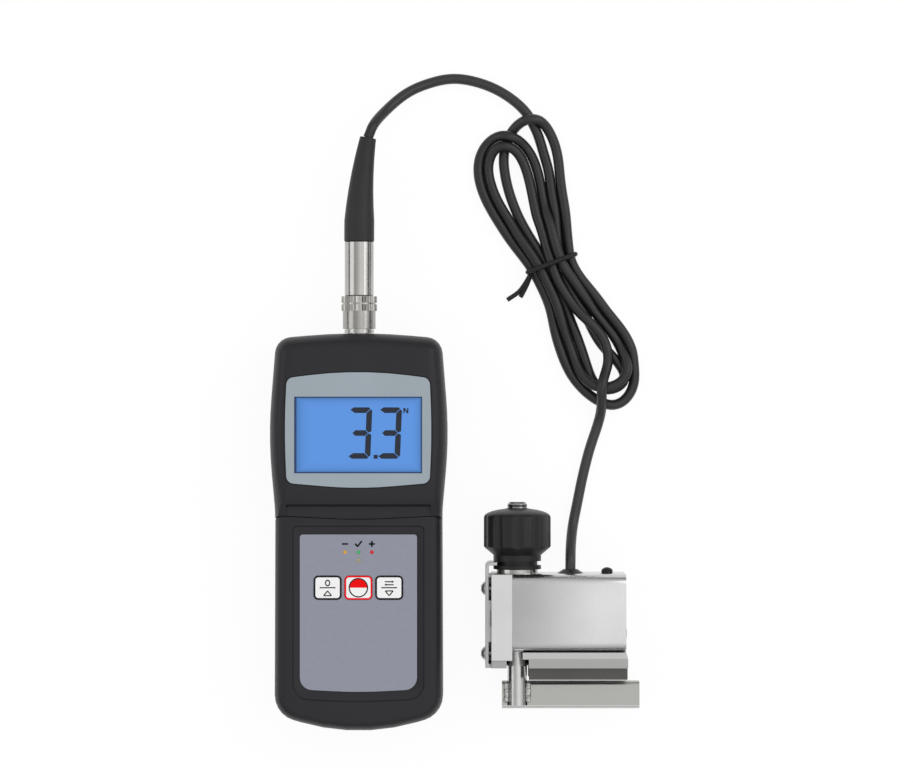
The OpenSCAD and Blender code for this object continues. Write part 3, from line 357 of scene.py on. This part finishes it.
def grained(
    name,
    colour,
    roughness,
    metallic=0.0,
    grain=1.2,
    stretch=(1, 1, 1),
    depth=0.03,
    strength=0.3,
    mottle=0.08,
    patch=0.05,
    gloss=0.4,
):
    """A finish with a fine grain in its gloss and relief and a faint mottle in its colour."""
    nodes = new_material(name)
    shade = linear(*colour)
    fine = nodes.noise(nodes.place(stretch), grain)
    broad = nodes.noise(nodes.place(), patch, 4.0)
    darker = scaled(shade, 1 - mottle)
    lighter = scaled(shade, 1 + mottle)
    smoother = max(LEAST_ROUGH, roughness - ROUGH_SPREAD)
    rougher = roughness + ROUGH_SPREAD
    nodes.give("Base Color", nodes.ramp(broad, (0.3, darker), (0.7, lighter)))
    nodes.give("Roughness", nodes.ramp(fine, (0.25, smoother), (0.75, rougher)))
    nodes.give("Metallic", metallic)
    nodes.give("Specular IOR Level", gloss)
    nodes.give("Normal", nodes.bump(fine, strength, depth))
    return nodes


BRUSH_STRETCH = 0.04


def brushed(name, colour, roughness, along, depth=0.012):
    """Metal brushed along one axis."""
    stretch = tuple(BRUSH_STRETCH if axis == along else 1 for axis in "XYZ")
    look = dict(metallic=1.0, grain=5.0, depth=depth, mottle=0.05, patch=0.04)
    return grained(name, colour, roughness, stretch=stretch, **look)


def printed(name, colour):
    """Screen-printed ink."""
    look = dict(grain=3.0, depth=0.005, strength=0.2, mottle=0.06, patch=0.6, gloss=0.12)
    return grained(name, colour, 0.5, **look).owner


def lens(name, colour, glow):
    """Tinted lens of a small light."""
    nodes = new_material(name)
    shade = linear(*colour)
    cloud = nodes.noise(nodes.place(), 0.7, 2.0)
    nodes.give("Base Color", nodes.ramp(cloud, (0.3, scaled(shade, 0.85)), (0.7, scaled(shade, 1.1))))
    nodes.give("Roughness", 0.18)
    nodes.give("Emission Color", shade)
    nodes.give("Emission Strength", glow)
    return nodes.owner


def clear_window(name):
    """Clear plastic with faint smudges."""
    nodes = new_material(name)
    smudge = nodes.noise(nodes.place(), 0.08, 2.0)
    nodes.give("Base Color", linear(225, 235, 245))
    nodes.give("Roughness", nodes.ramp(smudge, (0.3, 0.08), (0.7, 0.16)))
    nodes.give("Alpha", 0.015)
    return nodes.owner


WINDOW_LAP = 0.6
DISPLAY_EDGE = 4
LEFT_SHADE = 0.6


def display_blue(name):
    """The lit display: pale blue, with painted shade along its edges, most along the left one."""
    nodes = new_material(name)
    low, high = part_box("display_window")
    place = nodes.place()
    room = []
    for axis, start, end in (("X", low.x, high.x), ("Y", low.y, high.y)):
        along = nodes.axis(place, axis)
        room.append(nodes.math("SUBTRACT", along, start + WINDOW_LAP * MM))
        room.append(nodes.math("SUBTRACT", end - WINDOW_LAP * MM, along))
    left, right, bottom, top = room
    across = nodes.math("MINIMUM", nodes.math("MULTIPLY", left, LEFT_SHADE), right)
    nearest = nodes.math("MINIMUM", across, nodes.math("MINIMUM", bottom, top))
    edge = nodes.math("DIVIDE", nearest, DISPLAY_EDGE * MM)
    # Painted shade: the dark rim and the dim band stand for the shade the bezel casts on the display's edges.
    dark = linear(38, 58, 100)
    dim = linear(71, 125, 189)
    medium = linear(83, 141, 217)
    bright = linear(89, 149, 228)
    glow = nodes.ramp(edge, (0.0, dark), (0.1, dark), (0.16, dim), (0.45, medium), (1.0, bright))
    nodes.give("Base Color", linear(12, 18, 28))
    nodes.give("Emission Color", glow)
    nodes.give("Emission Strength", 0.94)
    nodes.give("Roughness", 0.35)
    nodes.give("Specular IOR Level", 0.1)
    return nodes.owner


# The height of the shell's crown is CROWN times the square of the distance from its middle, in metres.
CROWN = 5.2
METRE = 1000


def crowned_sheet(name):
    """Brushed sheet whose flat faces are very slightly crowned."""
    nodes = brushed(name, (204, 204, 205), 0.24, "Y", depth=0.008)
    low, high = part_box("sensor_shell")
    away = nodes.math("SUBTRACT", nodes.axis(nodes.place(), "X"), (low.x + high.x) / 2)
    crown = nodes.math("MULTIPLY", nodes.math("MULTIPLY", away, away), -CROWN)
    nodes.give("Normal", nodes.bump(crown, 1.0, METRE, nodes.given("Normal")))
    return nodes.owner


STEEL = (205, 205, 206)


def plate_painted_light_and_shade(name):
    """Brushed plate in two tones painted as light and shade: darker on its lower half, paler on its set-back
    upper front.
    """
    nodes = brushed(name, STEEL, 0.34, "X")
    low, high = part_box("base_plate")
    rise = nodes.math("SUBTRACT", nodes.axis(nodes.place(), "Y"), low.y)
    share = nodes.math("DIVIDE", rise, high.y - low.y)
    # Painted light and shade: the lower half takes the darker tone, the upper front the paler one.
    nodes.give("Base Color", nodes.ramp(share, (0.5, linear(168, 168, 167)), (0.62, linear(192, 192, 191))))
    return nodes.owner


# The change to the painted highlight along the lower edge is a quarter of the way up a stretch of four times
# its width.
HIGHLIGHT_WIDTH = 1.4


def bar_with_painted_highlight(name):
    """Brushed bar with a painted highlight along its lower edge."""
    nodes = brushed(name, STEEL, 0.36, "X")
    rise = nodes.math("SUBTRACT", nodes.axis(nodes.place(), "Y"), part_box("jaw_bar")[0].y)
    share = nodes.math("DIVIDE", rise, 4 * HIGHLIGHT_WIDTH * MM)
    # Painted highlight: the lowest band of the bar is painted paler than the rest of it.
    nodes.give("Base Color", nodes.ramp(share, (0.22, linear(218, 218, 217)), (0.28, linear(178, 179, 174))))
    return nodes.owner


ROD_COLOUR = (196, 196, 195)
THREAD_PITCH = 1.25
THREAD_DEPTH = 0.4


def threaded_steel(name):
    """Turned steel, with a thread on the stretch inside and above the knob."""
    nodes = grained(name, ROD_COLOUR, 0.22, metallic=1.0, grain=1.5, stretch=(1, 0.3, 1), depth=0.01)
    along = nodes.axis(nodes.place(), "Y")
    wave = nodes.math("PINGPONG", nodes.math("DIVIDE", along, THREAD_PITCH * MM), 0.5)
    above = nodes.math("GREATER_THAN", along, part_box("knob")[0].y)
    groove = nodes.math("MULTIPLY", wave, above)
    # Painted shade in the thread: its flanks and roots are painted darker, most at the root.
    shaded_flank = linear(150, 150, 149)
    shaded_root = linear(96, 96, 95)
    nodes.give("Normal", nodes.bump(groove, 1.0, THREAD_DEPTH, nodes.given("Normal")))
    nodes.give("Base Color", nodes.ramp(groove, (0.0, linear(*ROD_COLOUR)), (0.05, shaded_flank), (0.5, shaded_root)))
    return nodes.owner


def weld_bead(name):
    """Rippled, slightly tinted bead of weld metal."""
    nodes = new_material(name)
    place = nodes.place()
    lumps = nodes.noise(place, 0.55, 2.0)
    tint = nodes.noise(place, 0.35, 3.0)
    dull = linear(150, 148, 143)
    clean = linear(206, 206, 204)
    burnt = linear(120, 112, 106)
    nodes.give("Base Color", nodes.ramp(tint, (0.3, dull), (0.55, clean), (0.75, burnt)))
    nodes.give("Metallic", 1.0)
    nodes.give("Roughness", nodes.ramp(lumps, (0.3, 0.32), (0.7, 0.5)))
    nodes.give("Normal", nodes.bump(lumps, 0.4, 0.4))
    return nodes.owner


HANK_TOP = 176
RUBBER = (44, 44, 45)


def shaded_cable(name):
    """Cable rubber with painted shade along the hank, whose strands lie close together, and painted light on
    the lead to the sensor.
    """
    nodes = grained(name, RUBBER, 0.4, grain=1.5, depth=0.02, gloss=0.5)
    share = nodes.math("DIVIDE", nodes.axis(nodes.place(), "Y"), HANK_TOP * MM)
    # Painted light and shade: the lead to the sensor is painted lighter and the hank darker than the rubber
    # itself.
    low = linear(52, 52, 53)
    dark = linear(27, 27, 28)
    nodes.give("Base Color", nodes.ramp(share, (0.2, low), (0.36, dark), (0.9, dark), (1.0, linear(*RUBBER))))
    return nodes.owner


KEY_FINISH = dict(colour=(255, 255, 255), roughness=0.4, grain=1.4, depth=0.01, strength=0.2, mottle=0.02)
GRAINED = {
    "case_black": dict(
        colour=(37, 36, 40), roughness=0.42, grain=1.6, depth=0.02, strength=0.25, mottle=0.05, gloss=0.28
    ),
    "bezel_silver": dict(
        colour=(161, 172, 180), roughness=0.4, grain=2.4, depth=0.01, strength=0.2, mottle=0.03
    ),
    "white_plastic": dict(colour=(222, 222, 216), roughness=0.5),
    "strip_rubber": dict(colour=(66, 66, 70), roughness=0.7),
    "board_green": dict(colour=(38, 92, 60), roughness=0.4, mottle=0.15, patch=0.2),
    "chip_black": dict(colour=(40, 40, 42), roughness=0.45),
    "screw_steel": dict(colour=(214, 214, 215), roughness=0.42, metallic=1.0, depth=0.01),
    "overlay_grey": dict(
        colour=(148, 151, 165), roughness=0.45, grain=2.2, depth=0.01, strength=0.2, mottle=0.03, patch=1.0
    ),
    "key_white": KEY_FINISH,
    "key_red": KEY_FINISH,
    "switch_grey": dict(colour=(150, 150, 148), roughness=0.5),
    "cell_jacket": dict(colour=(176, 128, 52), roughness=0.35, mottle=0.15),
    "contact_nickel": dict(colour=STEEL, roughness=0.25, metallic=1.0),
    "plug_nickel": dict(
        colour=(180, 179, 176), roughness=0.16, metallic=1.0, grain=0.8, depth=0.01, strength=0.2
    ),
    "coupling_nickel": dict(colour=(164, 162, 159), roughness=0.2, metallic=1.0, depth=0.01, strength=0.2),
    "boot_rubber": dict(colour=RUBBER, roughness=0.5, grain=1.8, depth=0.02, gloss=0.3),
    "tie_black": dict(colour=(32, 32, 33), roughness=0.5, grain=1.5, strength=0.4, gloss=0.3),
    "gauge_foil": dict(colour=(196, 140, 62), roughness=0.35, metallic=0.6),
    "screw_black": dict(colour=(38, 38, 40), roughness=0.35, metallic=0.5),
    "knob_black": dict(colour=(32, 32, 33), roughness=0.42, grain=1.4, gloss=0.3),
    "bush_brass": dict(colour=(196, 160, 88), roughness=0.3, metallic=1.0),
}
BRUSHED = {
    "block_aluminium": dict(colour=(215, 215, 215), roughness=0.42, along="X"),
    # Painted shade: the supports' dark tone stands for the shade they sit in, set back under the base plate.
    "support_dark": dict(colour=(92, 91, 89), roughness=0.4, along="X"),
    "retainer_steel": dict(colour=(186, 186, 186), roughness=0.34, along="Y"),
}
LENSES = {
    "light_amber": dict(colour=(205, 152, 66), glow=0.12),
    "light_green": dict(colour=(60, 165, 95), glow=0.15),
    "light_red": dict(colour=(200, 6, 40), glow=0.2),
    "light_clear": dict(colour=(150, 148, 130), glow=0.1),
}
SHADED = {
    "window_clear": clear_window,
    "lcd_blue": display_blue,
    "cable_rubber": shaded_cable,
    "shell_steel": crowned_sheet,
    "base_steel": plate_painted_light_and_shade,
    "rod_steel": threaded_steel,
    "weld_bead": weld_bead,
    "jaw_steel": bar_with_painted_highlight,
}
MATERIALS = {
    **{name: grained(name, **look).owner for name, look in GRAINED.items()},
    **{name: brushed(name, **look).owner for name, look in BRUSHED.items()},
    **{name: lens(name, **look) for name, look in LENSES.items()},
    **{name: make(name) for name, make in SHADED.items()},
}
NODE_FINISH = {
    "case_black": ["rear_case", "upper_front_case", "lower_front_case", "battery_cover"],
    "bezel_silver": ["display_bezel"],
    "window_clear": ["display_window"],
    "lcd_blue": ["lcd_panel"],
    "white_plastic": ["lcd_backlight", "lcd_frame"],
    "strip_rubber": ["lcd_strips"],
    "board_green": ["main_board"],
    "chip_black": ["board_components"],
    "screw_steel": ["case_screws", "board_screws", "end_screw", "base_screws", "retainer_screws"],
    "overlay_grey": ["keypad_overlay"],
    "key_white": ["key_zero", "key_unit"],
    "key_red": ["key_power"],
    "switch_grey": ["key_switches"],
    "light_amber": ["light_low"],
    "light_green": ["light_good"],
    "light_red": ["light_high"],
    "light_clear": ["light_status"],
    "cell_jacket": ["battery_cells"],
    "contact_nickel": ["battery_springs", "battery_contacts"],
    "plug_nickel": ["meter_socket", "socket_nut", "plug_shell", "thrust_ring"],
    "coupling_nickel": ["coupling_ring"],
    "boot_rubber": ["cable_boot"],
    "cable_rubber": ["cable_meter_lead", "cable_hank", "cable_sensor_lead"],
    "tie_black": ["cable_tie"],
    "block_aluminium": ["sensor_block", "end_block", "load_cell"],
    "shell_steel": ["sensor_shell", "end_plate"],
    "gauge_foil": ["strain_gauges"],
    "base_steel": ["base_plate"],
    "support_dark": ["front_support", "rear_support"],
    "screw_black": ["shell_screw", "cable_grommet", "load_cell_bolts"],
    "knob_black": ["knob"],
    "bush_brass": ["knob_bush"],
    "retainer_steel": ["knob_retainer"],
    "rod_steel": ["jaw_rod"],
    "jaw_steel": ["jaw_bar"],
    "weld_bead": ["jaw_welds"],
}
for look, names in NODE_FINISH.items():
    for name in names:
        NODES[name].data.materials.clear()
        NODES[name].data.materials.append(MATERIALS[look])


# Moulded and pressed pieces are shaded smooth across their facets; machined ones get a fine edge break.
MOULDED = [
    "rear_case",
    "upper_front_case",
    "lower_front_case",
    "battery_cover",
    "keypad_overlay",
    "display_bezel",
    "sensor_shell",
    "end_plate",
    "cable_boot",
    "key_zero",
    "key_power",
    "key_unit",
    "battery_springs",
    "knob",
]
MACHINED = ["sensor_block", "base_plate", "jaw_bar", "front_support", "rear_support", "knob_retainer"]
SMOOTH_ANGLE = 32
EDGE_BREAK = 0.25
EDGE_ANGLE = 40


def shade_smooth(obj):
    for polygon in obj.data.polygons:
        polygon.use_smooth = True
    if "custom_normal" in obj.data.attributes:
        obj.data.attributes.remove(obj.data.attributes["custom_normal"])
    weld = obj.modifiers.new("weld", "WELD")
    weld.merge_threshold = TINY


def split_edges(obj):
    split = obj.modifiers.new("split", "EDGE_SPLIT")
    split.split_angle = math.radians(SMOOTH_ANGLE)


def break_edges(obj):
    bevel = obj.modifiers.new("bevel", "BEVEL")
    bevel.width = EDGE_BREAK * MM
    bevel.segments = 2
    bevel.limit_method = "ANGLE"
    bevel.angle_limit = math.radians(EDGE_ANGLE)
    obj.modifiers.new("level", "WEIGHTED_NORMAL")


for name in MOULDED:
    shade_smooth(NODES[name])
    split_edges(NODES[name])
for name in MACHINED:
    shade_smooth(NODES[name])
    break_edges(NODES[name])


# The lumps of the weld run together into one uneven bead.
BEAD_VOXEL = 0.16
BEAD_SOFTENING = 6
BEAD_WAVE = 0.5
BEAD_WAVELENGTH = 1.3


def run_together(obj):
    remesh = obj.modifiers.new("run_together", "REMESH")
    remesh.mode = "VOXEL"
    remesh.voxel_size = BEAD_VOXEL * MM
    remesh.use_smooth_shade = True
    soften = obj.modifiers.new("soften", "SMOOTH")
    soften.iterations = BEAD_SOFTENING
    noise = bpy.data.textures.new("bead_noise", "CLOUDS")
    noise.noise_scale = BEAD_WAVELENGTH * MM
    wave = obj.modifiers.new("wave", "DISPLACE")
    wave.texture = noise
    wave.strength = BEAD_WAVE * MM


run_together(NODES["jaw_welds"])


# Cable and tie
cable.data.materials.append(MATERIALS["cable_rubber"])
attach(cable, "tester_body")
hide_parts("cable_meter_lead", "cable_hank", "cable_sensor_lead")
tie.data.materials.append(MATERIALS["tie_black"])
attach(tie, "tester_body")
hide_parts("cable_tie")


# Printed marks: thin flat shapes on the display, the overlay and the keys
INK_T = 0.03
INK_DARK = printed("ink_dark", (24, 25, 28))
INK_RED = printed("ink_red", (252, 0, 6))
INK_NAVY = printed("ink_navy", (22, 29, 46))


def rounded(width, height, radius, steps=6):
    """A rectangle about the origin with round corners, anticlockwise."""
    points = []
    for quarter, (side, end) in enumerate([(1, 1), (-1, 1), (-1, -1), (1, -1)]):
        for step in range(steps + 1):
            angle = math.radians(90 * (quarter + step / steps))
            points.append((
                side * (width / 2 - radius) + radius * math.cos(angle),
                end * (height / 2 - radius) + radius * math.sin(angle),
            ))
    return points


def arc(radius, start, stop, steps=24):
    angles = [math.radians(start + (stop - start) * step / steps) for step in range(steps + 1)]
    return [(radius * math.cos(angle), radius * math.sin(angle)) for angle in angles]


def bar(start, end, width):
    """A straight stroke from start to end."""
    start, end = Vector(start), Vector(end)
    side = (end - start).orthogonal().normalized() * width / 2
    return [tuple(start - side), tuple(end - side), tuple(end + side), tuple(start + side)]


def band(outer, inner):
    """The shapes between two outlines of as many points."""
    count = len(outer)
    return [
        [outer[i], outer[(i + 1) % count], inner[(i + 1) % count], inner[i]]
        for i in range(count)
    ]


def ring(outer, inner):
    """The shapes between two circles about the origin."""
    return band(arc(outer, 0, 360)[:-1], arc(inner, 0, 360)[:-1])


def ink(name, shapes, place, body, material):
    """Flat shapes, printed on a face at a place, that ride on a body."""
    mesh = bmesh.new()
    for shape in shapes:
        corners = [
            mesh.verts.new(((x + place[0]) * MM, (y + place[1]) * MM, (place[2] + INK_T) * MM))
            for x, y in shape
        ]
        mesh.faces.new(corners)
    bmesh.ops.remove_doubles(mesh, verts=mesh.verts, dist=TINY)
    bmesh.ops.recalc_face_normals(mesh, faces=mesh.faces)
    if sum(face.normal.z for face in mesh.faces) < 0:
        bmesh.ops.reverse_faces(mesh, faces=mesh.faces)
    data = bpy.data.meshes.new(name)
    mesh.to_mesh(data)
    mesh.free()
    data.materials.append(material)
    piece = link(bpy.data.objects.new(name, data))
    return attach(piece, body)


def node_middle(name):
    low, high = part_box(name)
    return (low + high) / 2 / MM


def node_top(name):
    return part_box(name)[1].z / MM


# Slanted seven-segment figures on the display, with a point between them and a unit mark after them.
# The tip of a bar is placed by shares of the stroke.
FIGURE_W = 9.1
FIGURE_H = 20.9
STROKE = 2.5
CORNER_CUT = 1.4
TIP_DROP = 0.45
TIP_LOW = 0.8
TIP_HIGH = 0.6
SLANT = 0.04
SEGMENT_GAP = 0.22
FIGURE_X = (-4.15, 7.8)
FIGURE_Y = 29.65
POINT_SIZE = (1.7, 1.6)
POINT_ROUND = 0.2
POINT_X = 7
POINT_RISE = 0.9
UNIT_X = (18.4, 19.9)
UNIT_Y = (48.1, 50.2)
UNIT_W = 0.55


def shrunk(points, by):
    """A convex outline that runs anticlockwise, with every side moved in."""
    corners = [Vector(point) for point in points]
    sides = []
    for a, b in zip(corners, corners[1:] + corners[:1]):
        way = (b - a).normalized()
        sides.append((a + Vector((-way.y, way.x)) * by, way))
    moved = []
    for (at, way), (other, turn) in zip(sides[-1:] + sides[:-1], sides):
        gap = other - at
        along = (gap.x * turn.y - gap.y * turn.x) / (way.x * turn.y - way.y * turn.x)
        moved.append(tuple(at + way * along))
    return moved


def figure_three():
    """The five segments of a three whose lower left corner is the origin."""
    width, height, stroke = FIGURE_W, FIGURE_H, STROKE
    middle = height / 2
    half = stroke / 2
    inside = width - stroke
    bend = (width - CORNER_CUT / 2, height - CORNER_CUT / 2)
    top = [
        (0, height - TIP_DROP * stroke),
        (TIP_LOW * stroke, height - stroke),
        (inside, height - stroke),
        bend,
        (width - CORNER_CUT, height),
        (TIP_HIGH * stroke, height),
    ]
    side = [
        (width - half, middle),
        (width, middle + half / 2),
        (width, height - CORNER_CUT),
        bend,
        (inside, height - stroke),
        (inside, middle + half),
    ]
    dash = [
        (half, middle),
        (stroke, middle - half),
        (inside, middle - half),
        (width - half, middle),
        (inside, middle + half),
        (stroke, middle + half),
    ]
    lower = [[(x, height - y) for x, y in reversed(points)] for points in (top, side)]
    return [shrunk(points, SEGMENT_GAP / 2) for points in [top, side, dash] + lower]


def slanted(points, x, y):
    return [(x + point[0] + SLANT * point[1], y + point[1]) for point in points]


def unit_mark():
    """One stroke up, one down across and one up."""
    left, right = UNIT_X
    low, high = UNIT_Y
    ends = [(left, low), (left, high), (right, low), (right, high)]
    return [bar(start, end, UNIT_W) for start, end in zip(ends, ends[1:])]


figures = [slanted(segment, x, FIGURE_Y) for x in FIGURE_X for segment in figure_three()]
figures.append(slanted(rounded(*POINT_SIZE, POINT_ROUND), POINT_X, FIGURE_Y + POINT_RISE))
figures += unit_mark()
ink("display_figures", figures, (0, 0, node_top("lcd_panel")), "tester_body", INK_NAVY)

# Marks over the three lights: low, good and high
MARK_RISE = 3.3
MARK_W = 0.7
LIGHT_MARKS = {
    "light_low": [((-1.2, 0), (1.2, 0))],
    "light_good": [((-1.3, 0.1), (-0.2, -1.1)), ((-0.4, -1), (1.4, 1.2))],
    "light_high": [((-1.2, 0), (1.2, 0)), ((0, -1.2), (0, 1.2))],
}
for name, strokes in LIGHT_MARKS.items():
    middle = node_middle(name)
    ink(
        f"mark_{name}",
        [bar(start, end, MARK_W) for start, end in strokes],
        (middle.x, middle.y + MARK_RISE, node_top("keypad_overlay")),
        "tester_body",
        INK_DARK,
    )

# Borders and legends on the keys. A legend's places are measured from the middle of its key.
KEY_SIZE = (11.1, 9.6)
KEY_LINE = 0.65
KEY_ROUND = 1.8
LEGEND_W = 0.45
RULE_REACH = 3.2
ARROW_W = 3.2
ARROW_H = 1.9
UP_ARROW_Y = -3.2
DOWN_ARROW_Y = -1.3
NOUGHT_R = 1.35
NOUGHT_HOLE_R = 0.8
NOUGHT_SQUEEZE = 0.8
NOUGHT_Y = 1.9
SWAP_TAIL = 1.8
SWAP_STEM = 1.2
SWAP_HEAD = 1.1
SWAP_TIP = 2
SWAP_HALF_W = 0.5
SWAP_RIGHT_Y = 2.4
SWAP_LEFT_Y = 1.2
BADGE_R = 3.95
BADGE_LINE = 0.5


def key_face(name):
    middle = node_middle(name)
    return (middle.x, middle.y, node_top(name))


def key_border(name, material):
    width, height = KEY_SIZE
    outer = rounded(width, height, KEY_ROUND)
    inner = rounded(width - 2 * KEY_LINE, height - 2 * KEY_LINE, KEY_ROUND - KEY_LINE)
    return ink(f"border_{name}", band(outer, inner), key_face(name), name, material)


def triangle(base, height):
    """Strokes round a triangle on a level base, pointing down where its height is negative."""
    points = [(-ARROW_W / 2, base), (ARROW_W / 2, base), (0, base + height)]
    return [bar(a, b, LEGEND_W) for a, b in zip(points, points[1:] + points[:1])]


def nought():
    return [
        [(x * NOUGHT_SQUEEZE, y + NOUGHT_Y) for x, y in shape]
        for shape in ring(NOUGHT_R, NOUGHT_HOLE_R)
    ]


def swap_arrow(way, y):
    """A level arrow, to the right where way is 1 and to the left where it is -1."""
    head = [(SWAP_HEAD * way, y - SWAP_HALF_W), (SWAP_TIP * way, y), (SWAP_HEAD * way, y + SWAP_HALF_W)]
    return [bar((-SWAP_TAIL * way, y), (SWAP_STEM * way, y), LEGEND_W), head]


for name in ("key_zero", "key_unit"):
    key_border(name, INK_DARK)
key_border("key_power", INK_RED)

rule = [bar((-RULE_REACH, 0), (RULE_REACH, 0), LEGEND_W)]
swap_mark = swap_arrow(1, SWAP_RIGHT_Y) + swap_arrow(-1, SWAP_LEFT_Y)
KEY_MARKS = {
    "key_zero": nought() + rule + triangle(UP_ARROW_Y, ARROW_H),
    "key_unit": swap_mark + rule + triangle(DOWN_ARROW_Y, -ARROW_H),
}
for name, shapes in KEY_MARKS.items():
    ink(f"legend_{name}", shapes, key_face(name), name, INK_DARK)
badge_in = BADGE_R - BADGE_LINE
ink("power_ring", ring(BADGE_R, badge_in), key_face("key_power"), "key_power", INK_DARK)
ink("power_half", [arc(badge_in, 0, 180)], key_face("key_power"), "key_power", INK_RED)


# Floor, lamps and dome, with places and sizes in metres. The dome's levels go from horizon to zenith.
FLOOR_SIZE = 4
FLOOR_COLOUR = grey(0.88)
FLOOR_GLOW = 1.03
GLOW_SHARE = 0.9
WHITE = grey(1)
LAMPS = {
    "key_light": dict(power=2.6, size=0.8, place=(1.0, 0.5, 0.75)),
    "fill_light": dict(power=1.8, size=0.8, place=(-1.1, 0.2, 0.65)),
}
DOME = ((0, 0.03), (0.14, 0.06), (0.22, 0.52), (0.6, 0.7), (1, 1.0))
DOME_LEAN = 1.1
LEAN_POWER = 4


def pale_floor():
    """White to the camera and in reflections, and still darkened by the object's shadow."""
    nodes = new_material("floor_white")
    path = nodes.add("ShaderNodeLightPath")
    seen = nodes.math("MAXIMUM", path.outputs["Is Camera Ray"], path.outputs["Is Glossy Ray"])
    seen = nodes.math("MAXIMUM", seen, path.outputs["Is Transmission Ray"])
    nodes.give("Base Color", FLOOR_COLOUR)
    nodes.give("Roughness", 0.9)
    nodes.give("Specular IOR Level", 0.0)
    glow = nodes.add("ShaderNodeEmission", Color=WHITE, Strength=FLOOR_GLOW)
    mix = nodes.tree.nodes.new("ShaderNodeMixShader")
    nodes.set(mix.inputs[0], nodes.math("MULTIPLY", seen, GLOW_SHARE))
    nodes.set(mix.inputs[1], nodes.shader.outputs["BSDF"])
    nodes.set(mix.inputs[2], glow.outputs["Emission"])
    output = next(node for node in nodes.tree.nodes if node.type == "OUTPUT_MATERIAL")
    nodes.set(output.inputs["Surface"], mix.outputs["Shader"])
    return nodes.owner


def square_floor():
    half = FLOOR_SIZE / 2
    corners = [(-half, -half, 0), (half, -half, 0), (half, half, 0), (-half, half, 0)]
    data = bpy.data.meshes.new("floor")
    data.from_pydata(corners, [], [(0, 1, 2, 3)])
    data.materials.append(pale_floor())
    return link(bpy.data.objects.new("floor", data))


def area_light(name, power, size, place):
    data = bpy.data.lights.new(name, "AREA")
    data.energy = power
    data.size = size
    light = link(bpy.data.objects.new(name, data))
    light.location = place
    target = Vector((*VIEW_CENTRE, 0)) * MM
    light.rotation_euler = (target - light.location).to_track_quat("-Z", "Y").to_euler()


def studio_world():
    """A pale dome, dark near the horizon, brighter to the right of the zenith, and white to the camera."""
    nodes = Nodes(bpy.data.worlds.new("studio"), "Background")
    direction = nodes.add("ShaderNodeTexCoord").outputs["Generated"]
    height = nodes.axis(direction, "Z")
    seen = nodes.add("ShaderNodeLightPath").outputs["Is Camera Ray"]
    across = nodes.math("MULTIPLY", nodes.axis(direction, "X"), nodes.math("POWER", height, LEAN_POWER))
    lean = nodes.math("MULTIPLY_ADD", across, DOME_LEAN, 1)
    mix = nodes.add("ShaderNodeMix")
    mix.data_type = "RGBA"
    nodes.set(mix.inputs["Factor"], seen)
    nodes.set(mix.inputs["A"], nodes.ramp(height, *DOME))
    nodes.set(mix.inputs["B"], WHITE)
    nodes.give("Color", mix.outputs["Result"])
    nodes.give("Strength", nodes.math("MAXIMUM", lean, seen))
    bpy.context.scene.world = nodes.owner


floor = square_floor()
for name, lamp in LAMPS.items():
    area_light(name, **lamp)
studio_world()
